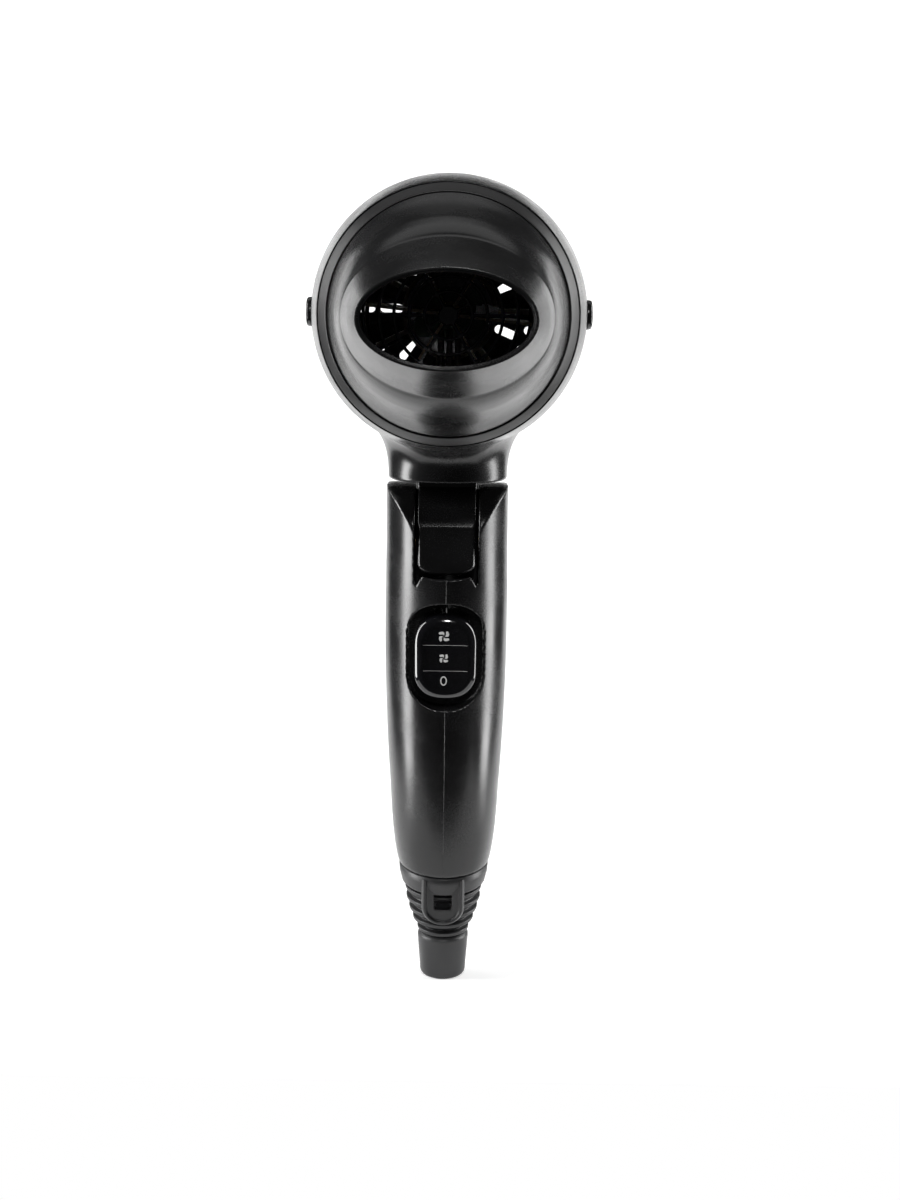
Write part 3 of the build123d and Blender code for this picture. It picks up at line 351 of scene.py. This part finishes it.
CASE_TONES = ((0.005, 0.005, 0.0052), (0.009, 0.009, 0.0095))
MATERIALS = {
    "satin_black": moulded("satin_black", *CASE_TONES, 0.25, grain=3400, depth=0.000012),
    "gloss_black": polished("gloss_black", (0.004, 0.004, 0.0045), (0.008, 0.008, 0.0085), 0.17),
    "bevel_black": moulded("bevel_black", *CASE_TONES, 0.42, grain=3400, depth=0.000008, wear=0.1),
    # Painted light: the grille's base tones are set lighter than the other gloss black to lift it out of the shade
    # inside the nozzle.
    "grille_black": polished("grille_black", (0.010, 0.010, 0.011), (0.016, 0.016, 0.017), 0.14),
    "cover_black": moulded("cover_black", (0.006, 0.006, 0.007), (0.011, 0.011, 0.012), 0.38,
                           grain=2600),
    "switch_black": polished("switch_black", (0.003, 0.003, 0.004), (0.006, 0.006, 0.007), 0.09),
    "soft_black": moulded("soft_black", (0.007, 0.007, 0.0075), (0.013, 0.013, 0.014), 0.42,
                          grain=5200, depth=0.000008),
    "mica": mica_board("mica"),
    "nichrome": metal("nichrome", (0.16, 0.13, 0.12), (0.34, 0.31, 0.30), 0.38),
    "steel": metal("steel", (0.48, 0.48, 0.50), (0.66, 0.66, 0.68), 0.28),
    "zinc_can": metal("zinc_can", (0.45, 0.46, 0.48), (0.62, 0.62, 0.60), 0.32, brushed=(1, 0.1, 1)),
    "bronze": metal("bronze", (0.42, 0.27, 0.13), (0.66, 0.47, 0.24), 0.34),
    "copper": metal("copper", (0.42, 0.16, 0.07), (0.66, 0.32, 0.16), 0.25, brushed=(1, 12, 1)),
    "board_green": moulded("board_green", (0.012, 0.07, 0.03), (0.02, 0.12, 0.05), 0.32,
                           grain=1500, coat=0.3),
    "heat_white": moulded("heat_white", (0.42, 0.40, 0.36), (0.60, 0.58, 0.53), 0.46, grain=2000),
    "print_white": moulded("print_white", (0.74, 0.74, 0.72), (0.86, 0.86, 0.84), 0.5, grain=2000),
    "fan_grey": moulded("fan_grey", (0.03, 0.03, 0.032), (0.05, 0.05, 0.053), 0.40, grain=2400),
    "lead_grey": moulded("lead_grey", (0.10, 0.10, 0.105), (0.17, 0.17, 0.175), 0.5, grain=2000),
}
SLOT_OF = {entry["node"]: entry["material_slot"] for entry in frame["record"]["subparts"]}


def finish_with(piece, slot, look=None):
    """Give a new piece one of the materials: its look's if given, else its slot's."""
    piece.data.materials.clear()
    piece.data.materials.append(MATERIALS[look or slot])


for node, obj in frame["nodes"].items():
    for holder in obj.material_slots:
        holder.material = MATERIALS[SLOT_OF[node]]


# ---------------------------------------------------------------------------
# Sizes, millimetres
# ---------------------------------------------------------------------------
AXIS_RISE = 64.5
BARREL_R, FRONT_R, REAR_R = 37.7, 34.2, 36.6
FRONT_STATION, REAR_STATION = 41.6, -43.0
HANDLE_A, HANDLE_B, END_A, END_B = 17.0, 19.0, 13.2, 15.6
HANDLE_BOTTOM = 96.2
NECK_BASE = 18.4
GRILLE_BACK, GRILLE_FRONT = 43.4, 46.0
FIRST_RING, RING_STEP, RING_BAR = 2.6, 3.95, 0.85
TONGUE_HALF, TONGUE_SWEEP, SLOT_SWEEP = 8.0, 17.7, 18.05
PIN_R = 2.5
SWITCH_MIDDLE, POCKET_POWER = -28.2, 2.3
MOULD_LINE_GAP = 0.025
MARKS_X = -0.4


def casing_radius(station):
    """Outer radius of the barrel at a station along its axis."""
    if station > 0:
        return BARREL_R - (BARREL_R - FRONT_R) * (station / FRONT_STATION) ** 2.4
    return BARREL_R - (BARREL_R - REAR_R) * (station / REAR_STATION) ** 2


def handle_section(height):
    """Half width and half depth of the handle at a height below the pivot."""
    share = min(1.0, max(0.0, -height / HANDLE_BOTTOM))
    sides = []
    for top, end, corner in ((HANDLE_A, END_A, 1.2), (HANDLE_B, END_B, 0.9)):
        sides.append(top - (top - end - corner) * share ** 2.4 - corner * share ** 16)
    sides[0] += 0.45 * sin(pi * min(1.0, share / 0.75))
    return sides


def ride_and_dress(piece, body, slot):
    """Tie a piece to its body and give it its material."""
    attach(piece, body)
    finish_with(piece, slot)


# ---------------------------------------------------------------------------
# Nozzle and outlet ring
# ---------------------------------------------------------------------------
def build_nozzle():
    """The concentrator: a soft-edged shell with two crescent steps and a rounded slot lip."""
    base, length, wall = 46.3, 46.0, 1.4
    first, second = base + 0.29 * length, base + 0.49 * length
    end = base + length
    path = [
        (base - 5.0, 30.85, 30.85, 0.25), (base, 30.85, 30.85, 0.05), (base, 31.1, 31.1, 0.30),
        (base + 5.5, 29.75, 28.2, 3.0), (first, 28.55, 25.35, 1.2), (first + 1.7, 28.2, 24.75, 0.9),
        (first + 6.2, 27.35, 22.7, 2.2), (second, 26.65, 20.75, 0.9), (second + 1.1, 26.35, 19.75, 0.9),
        (end, 21.8, 12.3, 0.22), (end, 21.1, 11.6, 0.12), (end - 0.35, 20.95, 11.45, 0.12),
        (end - 0.35, 20.6, 11.1, 0.15), (end - 1.2, 20.4, 10.9, 0.3),
        (second, 26.7 - wall, 20.9 - wall, 2.0), (first, 28.6 - wall, 25.4 - wall, 2.0),
        (base, 28.3, 28.3, 2.0), (base - 5.0, 28.3, 28.3, 0.25),
    ]
    rings = [ellipse_ring(a, b, s, 192) for s, a, b in soften(path)]
    piece = make_piece("nozzle_shell", *lofted(rings, loop=True), BARREL, "concentrator")
    finish_with(piece, "satin_black")
    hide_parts("concentrator")


def build_outlet_ring():
    """The polished bevel ring round the outlet."""
    path = [
        (46.0, 31.2, 0.12), (46.0, 31.62, 0.18), (42.3, 33.75, 0.25), (41.2, 33.75, 0.1),
        (41.2, 32.5, 0.1), (40.0, 32.4, 0.1), (40.0, 31.2, 0.1),
    ]
    piece = make_piece("bevel_ring", *lathe(soften(path), 256), BARREL, "head")
    finish_with(piece, "gloss_black", "bevel_black")
    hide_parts("front_ring")


def round_bar(reach, turn, half=0.42):
    """A bar of the outlet grille that runs outwards."""
    outline = ((GRILLE_BACK, -half), (GRILLE_BACK, half),
               (GRILLE_FRONT, half), (GRILLE_FRONT, -half))
    across = Vector((-sin(turn), cos(turn), 0))
    along = Vector((cos(turn), sin(turn), 0))
    return lofted([[tuple(along * r + across * t + Vector((0, 0, s))) for s, t in outline]
                   for r in reach])


def build_grille():
    """The outlet grille: hub, rings and spokes with the rounded edges of a moulding."""
    shapes = []
    for ring in range(6):
        outer = FIRST_RING + RING_STEP * ring
        inner = outer - RING_BAR if ring else 0.01
        shapes.append(lathe([(GRILLE_BACK, outer), (GRILLE_FRONT, outer),
                             (GRILLE_FRONT, inner), (GRILLE_BACK, inner)], 128))
    collar = [(38.0, 26.4), (GRILLE_FRONT, 26.4), (GRILLE_FRONT, 28.0), (42.8, 28.0),
              (42.8, 27.2), (41.4, 27.2), (41.4, 28.0), (40.0, 28.0), (40.0, 32.3), (38.0, 32.3)]
    shapes.append(lathe(collar, 192))
    shapes += [round_bar((2.2, 6.2), radians(30 + 90 * i)) for i in range(4)]
    for gap in range(1, 6):
        near = 2.2 + RING_STEP * gap
        far = near + RING_STEP if gap < 5 else 26.8
        first = 0 if gap < 4 else 30
        shapes += [round_bar((near, far), radians(first + 60 * i)) for i in range(6)]
    piece = make_piece("grille_moulding", *merged(shapes), BARREL, None)
    remeshed(piece, 0.2, 3, 0.35)
    ride_and_dress(piece, "head", "grille_black")
    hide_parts("outlet_grille")


# ---------------------------------------------------------------------------
# Barrel, neck and hinge tongue
# ---------------------------------------------------------------------------
def build_barrel():
    """The barrel casing, turned, with soft front and rear edges."""
    outer = [(REAR_STATION, REAR_R, 0.5)]
    outer += [(s, casing_radius(s), 0.0) for s in range(-41, 41, 3)]
    outer += [(FRONT_STATION, FRONT_R, 0.35)]
    bore = [(FRONT_STATION, 33.95, 0.1), (40.8, 33.95, 0.1), (40.8, 32.55, 0.2),
            (38.0, 32.45, 0.0), (38.0, 31.4, 0.0), (36.0, 31.4, 0.5), (18.0, 35.6, 2.0),
            (-8.0, 36.0, 2.0), (-12.0, 34.8, 2.0), (REAR_STATION, 34.8, 0.2)]
    piece = make_piece("barrel_shell", *lathe(soften(outer + bore), 256), BARREL, "head")
    finish_with(piece, "satin_black")
    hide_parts("barrel_housing")


def barrel_bottom(x, y):
    """Height of the underside of the barrel above the pivot."""
    radius = casing_radius(min(FRONT_STATION, max(REAR_STATION, -y)))
    return AXIS_RISE - sqrt(max(radius * radius - x * x, 0.0))


def neck_rings(count=160, steps=22):
    """Rings that run from the foot of the neck into the barrel without a corner."""
    foot_a, foot_b, spread_a, spread_b, power = 16.6, 17.4, 22.2, 25.0, 2.3
    rings = []
    foot = ellipse_ring(foot_a, foot_b, NECK_BASE, count, power)
    for depth, inset in ((0.0, 0.9), (0.07, 0.5), (0.26, 0.2), (0.55, 0.04)):
        rings.append([(x * (1 - inset / foot_a), y * (1 - inset / foot_b), NECK_BASE + depth)
                      for x, y, _ in foot])
    spans = []
    for x, y, z in foot:
        far_x, far_y = x / foot_a * spread_a, y / foot_b * spread_b
        out = Vector((far_x - x, far_y - y)).normalized()
        start = Vector((x, y, NECK_BASE + 0.9))
        end = Vector((far_x, far_y, barrel_bottom(far_x, far_y)))
        step = 0.5
        rise = barrel_bottom(far_x + out.x * step, far_y + out.y * step) - end.z
        lead = Vector((out.x * step, out.y * step, rise)).normalized()
        reach = (end - start).length
        spans.append((start, Vector((0, 0, 1)) * reach * 1.75, end, lead * reach * 0.55))
    for i in range(steps + 1):
        t = i / steps
        ring = []
        for start, rise, end, lead in spans:
            point = start * (2 * t ** 3 - 3 * t ** 2 + 1) + rise * (t ** 3 - 2 * t ** 2 + t)
            point += end * (3 * t ** 2 - 2 * t ** 3) + lead * (t ** 3 - t ** 2)
            ring.append(tuple(point))
        rings.append(ring)
    rings.append([(x * 0.97, y * 0.97, barrel_bottom(x * 0.97, y * 0.97) + 1.2)
                  for x, y, _ in rings[-1]])
    rings.append([(x * 0.5, y * 0.5, AXIS_RISE - 36.3) for x, y, _ in rings[-1]])
    return rings


def prism(side_outline, half_width):
    """A solid that runs across the handle, from an outline of (back, up) points."""
    return lofted([[(x, y, z) for y, z in side_outline] for x in (-half_width, half_width)])


def solid_tool(name, shape, place=GRIP):
    """A flat-shaded solid that another is cut or joined with."""
    return make_piece(name, *shape, place, None, smooth=False)


def arc(radius, start, end, steps=24):
    """Points round the pivot, angles in degrees from the back, upwards."""
    return [(radius * cos(radians(start + (end - start) * i / steps)),
             radius * sin(radians(start + (end - start) * i / steps))) for i in range(steps + 1)]


def front_panel(half_width, bottom, shoulder, top, power=2.6, count=28):
    """A U-shaped front outline of (x, up) points: straight sides and a shallow round foot."""
    points = [(half_width, top)]
    for i in range(count + 1):
        turn = pi * i / count
        c, s = cos(turn), sin(turn)
        x = half_width * squared(c, power)
        points.append((x, shoulder - (shoulder - bottom) * squared(s, power)))
    points.append((-half_width, top))
    return points


def front_prism(outline, near, far):
    """A solid that runs from front to back, from an outline of (x, up) points."""
    return lofted([[(x, -near, z) for x, z in outline], [(x, -far, z) for x, z in outline]])


def build_neck():
    """The neck with the hinge tongue, cut from solids and rounded as one moulding."""
    neck = make_piece("neck_and_tongue", *lofted(neck_rings()), HEAD, None)
    side = [(-16.5, -6.4)] + arc(16.4, 206.2, 360, 30) + arc(16.4, 0, 66, 14)[1:]
    side += [(15.0, 14.0), (15.0, 21.5), (-7.3, 21.5)]
    side += arc(TONGUE_SWEEP, 113.0, 158.8, 12) + [(-16.5, 6.4)]
    disc = solid_tool("disc", prism(side, TONGUE_HALF), HEAD)
    steps = ((7.0, -6.0, 16.9), (7.3, -6.3, 16.5), (8.0, -7.0, 15.7), (8.0, -7.0, -30.0))
    rim = [[(x, -near, z) for x, z in front_panel(half, foot, -3.4, 30.0)]
           for half, foot, near in steps]
    panel = lofted(rim)
    plate = solid_tool("plate", panel, HEAD)
    barrel_knob = arc(16.2, 0, 128, 26) + [(-10.5, 12.4), (-10.5, -12.4)] + arc(16.2, 232, 355, 26)
    knob = solid_tool("knob", prism(barrel_knob, 8.6), HEAD)
    root = solid_tool("root", prism([(-6.4, 10), (15, 4), (15, 22), (-6.4, 22)], 8.74), HEAD)
    cut(disc, plate, "INTERSECT")
    cut(disc, knob, "UNION")
    cut(disc, root, "UNION")
    cut(neck, disc, "UNION")
    hole = solid_tool("hole", prism(arc(2.55, 0, 345, 23), 9.0), HEAD)
    cut(neck, hole)
    remeshed(neck, 0.24, 5, 0.45)
    ride_and_dress(neck, "head", "satin_black")
    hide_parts("barrel_housing")


def build_side_caps():
    """The two round buttons on the sides of the barrel."""
    for side, node in ((-1, "side_cap_left"), (1, "side_cap_right")):
        path = [(0.0, 0.0, 0.0), (1.66, 0.0, 0.0), (1.70, 2.4, 0.6),
                (1.35, 3.8, 0.5), (0.7, 4.0, 0.3), (0.0, 4.0, 0.0)]
        rings = [[(side * (37.1 + s), r * cos(t) - 15.0, AXIS_RISE + r * sin(t))
                  for t in (2 * pi * i / 64 for i in range(64))] for s, r in soften(path)[1:]]
        verts, faces = lofted(rings)
        piece = make_piece("button_" + node[9:], verts, faces, HEAD, "head")
        finish_with(piece, "gloss_black")
        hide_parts(node)


# ---------------------------------------------------------------------------
# Handle
# ---------------------------------------------------------------------------
def pocket_outline(width, length, count=72):
    """A stadium-like outline round the switch, (x, up) points."""
    radius = width / 2
    points = []
    for i in range(count):
        turn = 2 * pi * i / count
        c, s = cos(turn), sin(turn)
        x = radius * squared(c, POCKET_POWER)
        z = radius * squared(s, POCKET_POWER)
        z += (length / 2 - radius) * (1 if s >= 0 else -1)
        points.append((x, z + SWITCH_MIDDLE))
    return points


def build_handle():
    """Both handle halves: one rounded moulding, cut down the middle."""
    heights = [-96.2, -96.05, -95.7, -95.2, -94.4, -93] + [-90 + 3 * i for i in range(36)] + [17.6]
    inset = {-96.2: 0.75, -96.05: 0.4, -95.7: 0.15, -95.2: 0.03}
    rings = []
    for height in heights:
        a, b = handle_section(height)
        less = inset.get(height, 0.0)
        rings.append(ellipse_ring(a - less, b - less, height, 160))
    skin = make_piece("handle", *lofted(rings), GRIP, None)
    room = [ellipse_ring(*[v - 2.0 for v in handle_section(height)], height, 96)
            for height in (-93.0 + 5 * i for i in range(17))]
    hollow = make_piece("hollow", *lofted(room), GRIP, None)
    wall = front_prism(pocket_outline(24.4, 34.2), 10.8, 25.0)
    cut(hollow, solid_tool("wall", wall))
    cut(skin, hollow)
    half_turn = [(17 * squared(cos(t), 2.4), 17 * squared(sin(t), 2.4))
                 for t in (pi * i / 40 for i in range(41))]
    top = half_turn + [(-30.0, 0.0), (-30.0, 30.0), (30.0, 30.0), (30.0, 0.0)]
    cut(skin, solid_tool("top", prism(top, 20.0)))
    half = 8.75
    slot = arc(SLOT_SWEEP, 180, 291, 36) + [(6.7, -15.4)] + arc(16.75, 294, 370, 26)
    slot += [(30.0, 3.0), (30.0, 30.0), (-SLOT_SWEEP, 30.0)]
    cut(skin, solid_tool("slot", prism(slot, half)))
    panel = front_prism(front_panel(half, -5.6, -2.0, 30.0), 40.0, 12.0)
    cut(skin, solid_tool("front", panel))
    pocket = front_prism(pocket_outline(21.4, 31.2), 40.0, 13.0)
    cut(skin, solid_tool("pocket", pocket))
    window = front_prism([(-6.5, -37.7), (6.5, -37.7), (6.5, -18.7), (-6.5, -18.7)], 20.0, 9.0)
    cut(skin, solid_tool("window", window))
    pin = solid_tool("pin_hole", prism(arc(PIN_R, 0, 345, 23), 14.4))
    cut(skin, pin)
    rings = [ellipse_ring(8.0, 8.0, z, 48) for z in (-97.0, -92.0)]
    cut(skin, make_piece("opening", *lofted(rings), GRIP, None))
    for back, up in ((7.5, -58.0), (9.4, -84.0), (12.6, -33.0)):
        ring = [(back + 2.85 * cos(t), up + 2.85 * sin(t))
                for t in (2 * pi * i / 32 for i in range(32))]
        rings = [[(x, y, z) for y, z in ring] for x in (8.0, 20.0)]
        cut(skin, solid_tool("recess", lofted(rings)))
    remeshed(skin, 0.32, 6, 0.5)
    split_halves(skin)


def split_halves(skin):
    """Part the moulding at the mould line, leaving a hair's width between the halves."""
    for side, node in ((-1, "handle_shell_left"), (1, "handle_shell_right")):
        work = bmesh.new()
        work.from_mesh(skin.data)
        geom = work.verts[:] + work.edges[:] + work.faces[:]
        bmesh.ops.bisect_plane(work, geom=geom, dist=1e-7, clear_outer=True,
                               plane_co=(side * MOULD_LINE_GAP * MM, 0, 0),
                               plane_no=(-side, 0, 0))
        rim = [edge for edge in work.edges if edge.is_boundary]
        bmesh.ops.triangle_fill(work, edges=rim, use_beauty=True)
        bmesh.ops.recalc_face_normals(work, faces=work.faces)
        mesh = bpy.data.meshes.new(node.replace("shell", "half"))
        work.to_mesh(mesh)
        work.free()
        mesh.shade_smooth()
        half = bpy.data.objects.new(mesh.name, mesh)
        bpy.context.scene.collection.objects.link(half)
        ride_and_dress(half, "handle", "satin_black")
        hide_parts(node)
    bpy.data.objects.remove(skin)


# ---------------------------------------------------------------------------
# Rocker
# ---------------------------------------------------------------------------
def build_rocker():
    """The rocker cap: stepped bevel, gently hollow face."""
    rings = []
    for near, inset in ((15.0, 0.25), (15.2, 0.0), (17.6, 0.0), (18.15, 0.12), (18.5, 0.4),
                        (18.85, 0.85), (19.15, 1.35), (19.3, 1.75), (19.36, 2.1),
                        (19.34, 2.5), (19.2, 3.2), (19.1, 4.2)):
        outline = pocket_outline(17.4 - 2 * inset, 24.4 - 2 * inset)
        rings.append([(x, -near, z) for x, z in outline])
    verts, faces = lofted(rings)
    piece = make_piece("rocker_cap", verts, faces, GRIP, "rocker")
    finish_with(piece, "switch_black")
    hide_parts("switch_rocker")


def face_depth(x):
    """How far the rocker's hollow face lies in front of the handle axis, by place across it."""
    return 19.1 + 0.26 * max(0.0, min(1.0, (abs(x) - 4.5) / 2.1))


def raised(points, lift=0.06):
    """A thin printed patch on the rocker's face, from an outline of (x, up) points."""
    rings = [[(x, -(face_depth(x) + rise), z) for x, z in points] for rise in (-0.1, lift)]
    return lofted(rings)


def fan_sign(middle_x, middle_z, size):
    """Four curved blades round an open middle."""
    patches = []
    for blade in range(4):
        outline = []
        for share, side in [(i / 6, 1) for i in range(7)] + [(i / 6, -1) for i in range(6, -1, -1)]:
            reach = size * (0.16 + 0.84 * share)
            turn = pi / 2 * blade + 0.9 * share + side * (0.10 + 0.46 * sin(pi * share ** 1.3))
            outline.append((middle_x + reach * cos(turn), middle_z + reach * sin(turn)))
        patches.append(raised(outline))
    return patches


def build_rocker_print():
    """White marks on the rocker: a large fan, a small fan, two thin lines and a nought."""
    patches = fan_sign(MARKS_X, -21.6, 1.75) + fan_sign(MARKS_X, -28.0, 1.45)
    for height in (-24.2, -31.7):
        steps = [-6.2 + 12.4 * i / 16 for i in range(17)]
        line = [(x, height - 0.03) for x in steps]
        line += [(x, height + 0.03) for x in reversed(steps)]
        patches.append(raised(line, 0.03))
    for start in range(0, 24):
        turns = [2 * pi * (start + i) / 24 for i in (0, 1)]
        inner = [(MARKS_X + 0.62 * cos(t), -34.6 + 1.05 * sin(t)) for t in turns]
        outer = [(MARKS_X + 0.92 * cos(t), -34.6 + 1.38 * sin(t)) for t in reversed(turns)]
        patches.append(raised(inner + outer))
    marks = make_piece("rocker_print", *merged(patches), GRIP, "rocker", smooth=False)
    finish_with(marks, "heat_white", "print_white")


# ---------------------------------------------------------------------------
# Strain relief
# ---------------------------------------------------------------------------
def build_strain_relief():
    """Bell collar, ribbed cone and tube, and the hanging loop."""
    low = -HANDLE_BOTTOM - 6.0
    rings = []
    for height, a, b in ((-96.25, 8.0, 8.0), (-96.25, 12.7, 15.1), (-96.5, 13.1, 15.5),
                         (-99.2, 12.9, 14.9), (low + 0.7, 12.35, 14.1),
                         (low + 0.3, 12.25, 14.0), (low, 11.9, 13.6), (low, 8.0, 8.0)):
        rings.append(ellipse_ring(a, b, height, 128))
    bell = make_piece("bell_collar", *lofted(rings, loop=True), GRIP, "handle")
    finish_with(bell, "soft_black")
    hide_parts("strain_relief")
    path = [(-90.6, 3.6, 0.0), (-90.6, 10.6, 0.3), (-93.2, 10.6, 0.3), (-93.2, 7.8, 0.0),
            (low + 0.2, 9.4, 0.0)]
    for rib in range(5):
        radius = 11.6 - (11.6 - 7.9) * (rib / 4) ** 1.6
        top = low - 3.3 * rib
        path += [(top - 1.45, radius - 1.7, 0.3), (top - 1.7, radius - 0.25, 0.3),
                 (top - 2.9, radius - 0.45, 0.45), (top - 3.25, radius - 1.9, 0.3)]
    path += [(-119.4, 7.15, 0.4), (-120.0, 7.5, 0.7), (-132.7, 6.6, 1.3), (-132.7, 3.6, 0.5)]
    tube = make_piece("ribbed_sleeve", *lathe(soften(path), 128), GRIP, "handle")
    finish_with(tube, "soft_black")
    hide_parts("strain_relief")
    top, foot, half = -97.0, -111.6, 6.2
    rings = []
    for inset, near in ((1.5, 13.9), (1.35, 14.4), (1.0, 14.6), (0.6, 14.5), (0.0, 13.4), (0.0, 11.6)):
        points = front_panel(half - inset, foot + inset, foot + half - 0.4, top, 2.0, 36)
        rings.append([(x, -near, z) for x, z in points])
    loop = solid_tool("hanging_eye", lofted(rings))
    web = front_prism([(2.2, -98.0), (2.2, -109.0), (-2.2, -109.0), (-2.2, -98.0)], 12.5, 6.0)
    cut(loop, solid_tool("web", web), "UNION")
    turns = [pi * i / 24 for i in range(25)]
    hole = [(2.6 * cos(t), -101.4 + 2.8 * sin(t)) for t in turns]
    hole += [(-2.6, -105.6), (-2.3, -106.3), (-1.7, -106.6),
             (1.7, -106.6), (2.3, -106.3), (2.6, -105.6)]
    cut(loop, solid_tool("eye", front_prism(hole, 30.0, 6.2)))
    remeshed(loop, 0.2, 6, 0.5)
    ride_and_dress(loop, "handle", "soft_black")
    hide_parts("strain_relief")


build_nozzle()
build_outlet_ring()
build_grille()
build_barrel()
build_neck()
build_side_caps()
build_handle()
build_rocker()
build_rocker_print()
build_strain_relief()


# ---------------------------------------------------------------------------
# Studio
# ---------------------------------------------------------------------------
def area_light(name, place, aim, width, height, power):
    """A soft rectangular light that faces a point."""
    data = bpy.data.lights.new(name, "AREA")
    data.shape = "RECTANGLE"
    data.size = width
    data.size_y = height
    data.energy = power
    light = bpy.data.objects.new(name, data)
    light.visible_camera = False
    light.location = place
    light.rotation_euler = (Vector(aim) - Vector(place)).to_track_quat("-Z", "Y").to_euler()
    bpy.context.scene.collection.objects.link(light)


def build_stage():
    """A pale paper sweep: a floor that curves up into a wall behind."""
    floor_z = CAD_BOX[0][2]
    profile = [(-0.075, 0.0), (0.1, 0.0), (0.4, 0.0), (1.0, 0.0)]
    profile += [(1.0 + 0.4 * sin(radians(turn)), 0.4 - 0.4 * cos(radians(turn)))
                for turn in range(6, 91, 6)]
    profile += [(1.4, 0.60)]
    verts, faces = [], []
    for back, up in profile:
        half = 0.13 + 0.48 * max(back, 0.0)
        verts += [(-half, back, floor_z + up), (half, back, floor_z + up)]
    for i in range(len(profile) - 1):
        faces.append((2 * i, 2 * i + 1, 2 * i + 3, 2 * i + 2))
    mesh = bpy.data.meshes.new("sweep")
    mesh.from_pydata(verts, [], faces)
    mesh.shade_smooth()
    sweep = bpy.data.objects.new("sweep", mesh)
    bpy.context.scene.collection.objects.link(sweep)
    paper, tree, shader = new_material("paper")
    white = tones(tree, noise(tree, 8, 2), (0.88, 0.88, 0.88), (0.90, 0.90, 0.90))
    tree.links.new(white, shader.inputs["Base Color"])
    shader.inputs["Roughness"].default_value = 0.95
    shader.inputs["Specular IOR Level"].default_value = 0.1
    shader.inputs["Emission Color"].default_value = (1, 1, 1, 1)
    shader.inputs["Emission Strength"].default_value = 0.32
    mesh.materials.append(paper)


def build_lights():
    """Tall strips at both sides, a soft top light, a small front light and a wash on the paper."""
    middle = (0, 0, 0.03)
    area_light("left_strip", (-0.69, -0.06, 0.10), middle, 0.26, 1.0, 11)
    area_light("right_strip", (0.70, 0.10, 0.10), middle, 0.24, 1.0, 8)
    area_light("top", (0, 0.45, 1.1), middle, 1.2, 0.6, 1.2)
    area_light("front_spot", (0.05, -1.1, 0.75), middle, 0.12, 0.12, 5.0)
    for side in (-1, 1):
        area_light("paper_wash", (side * 0.85, 0.55, 0.45), (side * 0.1, 1.4, 0.1), 0.5, 0.5, 7.5)
    world = bpy.data.worlds.new("studio")
    world.use_nodes = True
    tree = world.node_tree
    room = tree.nodes["Background"]
    room.inputs["Color"].default_value = (1, 1, 1, 1)
    room.inputs["Strength"].default_value = 0.03
    seen = tree.nodes.new("ShaderNodeBackground")
    seen.inputs["Color"].default_value = (1, 1, 1, 1)
    seen.inputs["Strength"].default_value = 1.0
    rays = tree.nodes.new("ShaderNodeLightPath")
    mix = tree.nodes.new("ShaderNodeMixShader")
    tree.links.new(rays.outputs["Is Camera Ray"], mix.inputs[0])
    tree.links.new(room.outputs[0], mix.inputs[1])
    tree.links.new(seen.outputs[0], mix.inputs[2])
    tree.links.new(mix.outputs[0], tree.nodes["World Output"].inputs["Surface"])
    bpy.context.scene.world = world
    bpy.context.scene.view_settings.view_transform = "Standard"


def build_camera():
    """A 64 mm lens 0.6 m in front of the hinge, a little above it, looking slightly down."""
    data = bpy.data.cameras.new("camera")
    data.sensor_fit = "VERTICAL"
    data.sensor_height = 36.0
    data.lens = 64.3
    camera = bpy.data.objects.new("camera", data)
    down, roll = radians(8.69), radians(0.70)
    turn = Matrix.Rotation(radians(0.34), 3, "Z")
    ahead = turn @ Vector((0, cos(down), -sin(down)))
    above = turn @ Vector((0, sin(down), cos(down)))
    right = turn @ Vector((1, 0, 0))
    side = right * cos(roll) + above * sin(roll)
    top = above * cos(roll) - right * sin(roll)
    place = PIVOT + Vector((0.0046, -0.600, 0.07543))
    camera.matrix_world = Matrix((
        (side.x, top.x, -ahead.x, place.x), (side.y, top.y, -ahead.y, place.y),
        (side.z, top.z, -ahead.z, place.z), (0, 0, 0, 1),
    ))
    bpy.context.scene.collection.objects.link(camera)
    bpy.context.scene.camera = camera


build_stage()
build_lights()
build_camera()
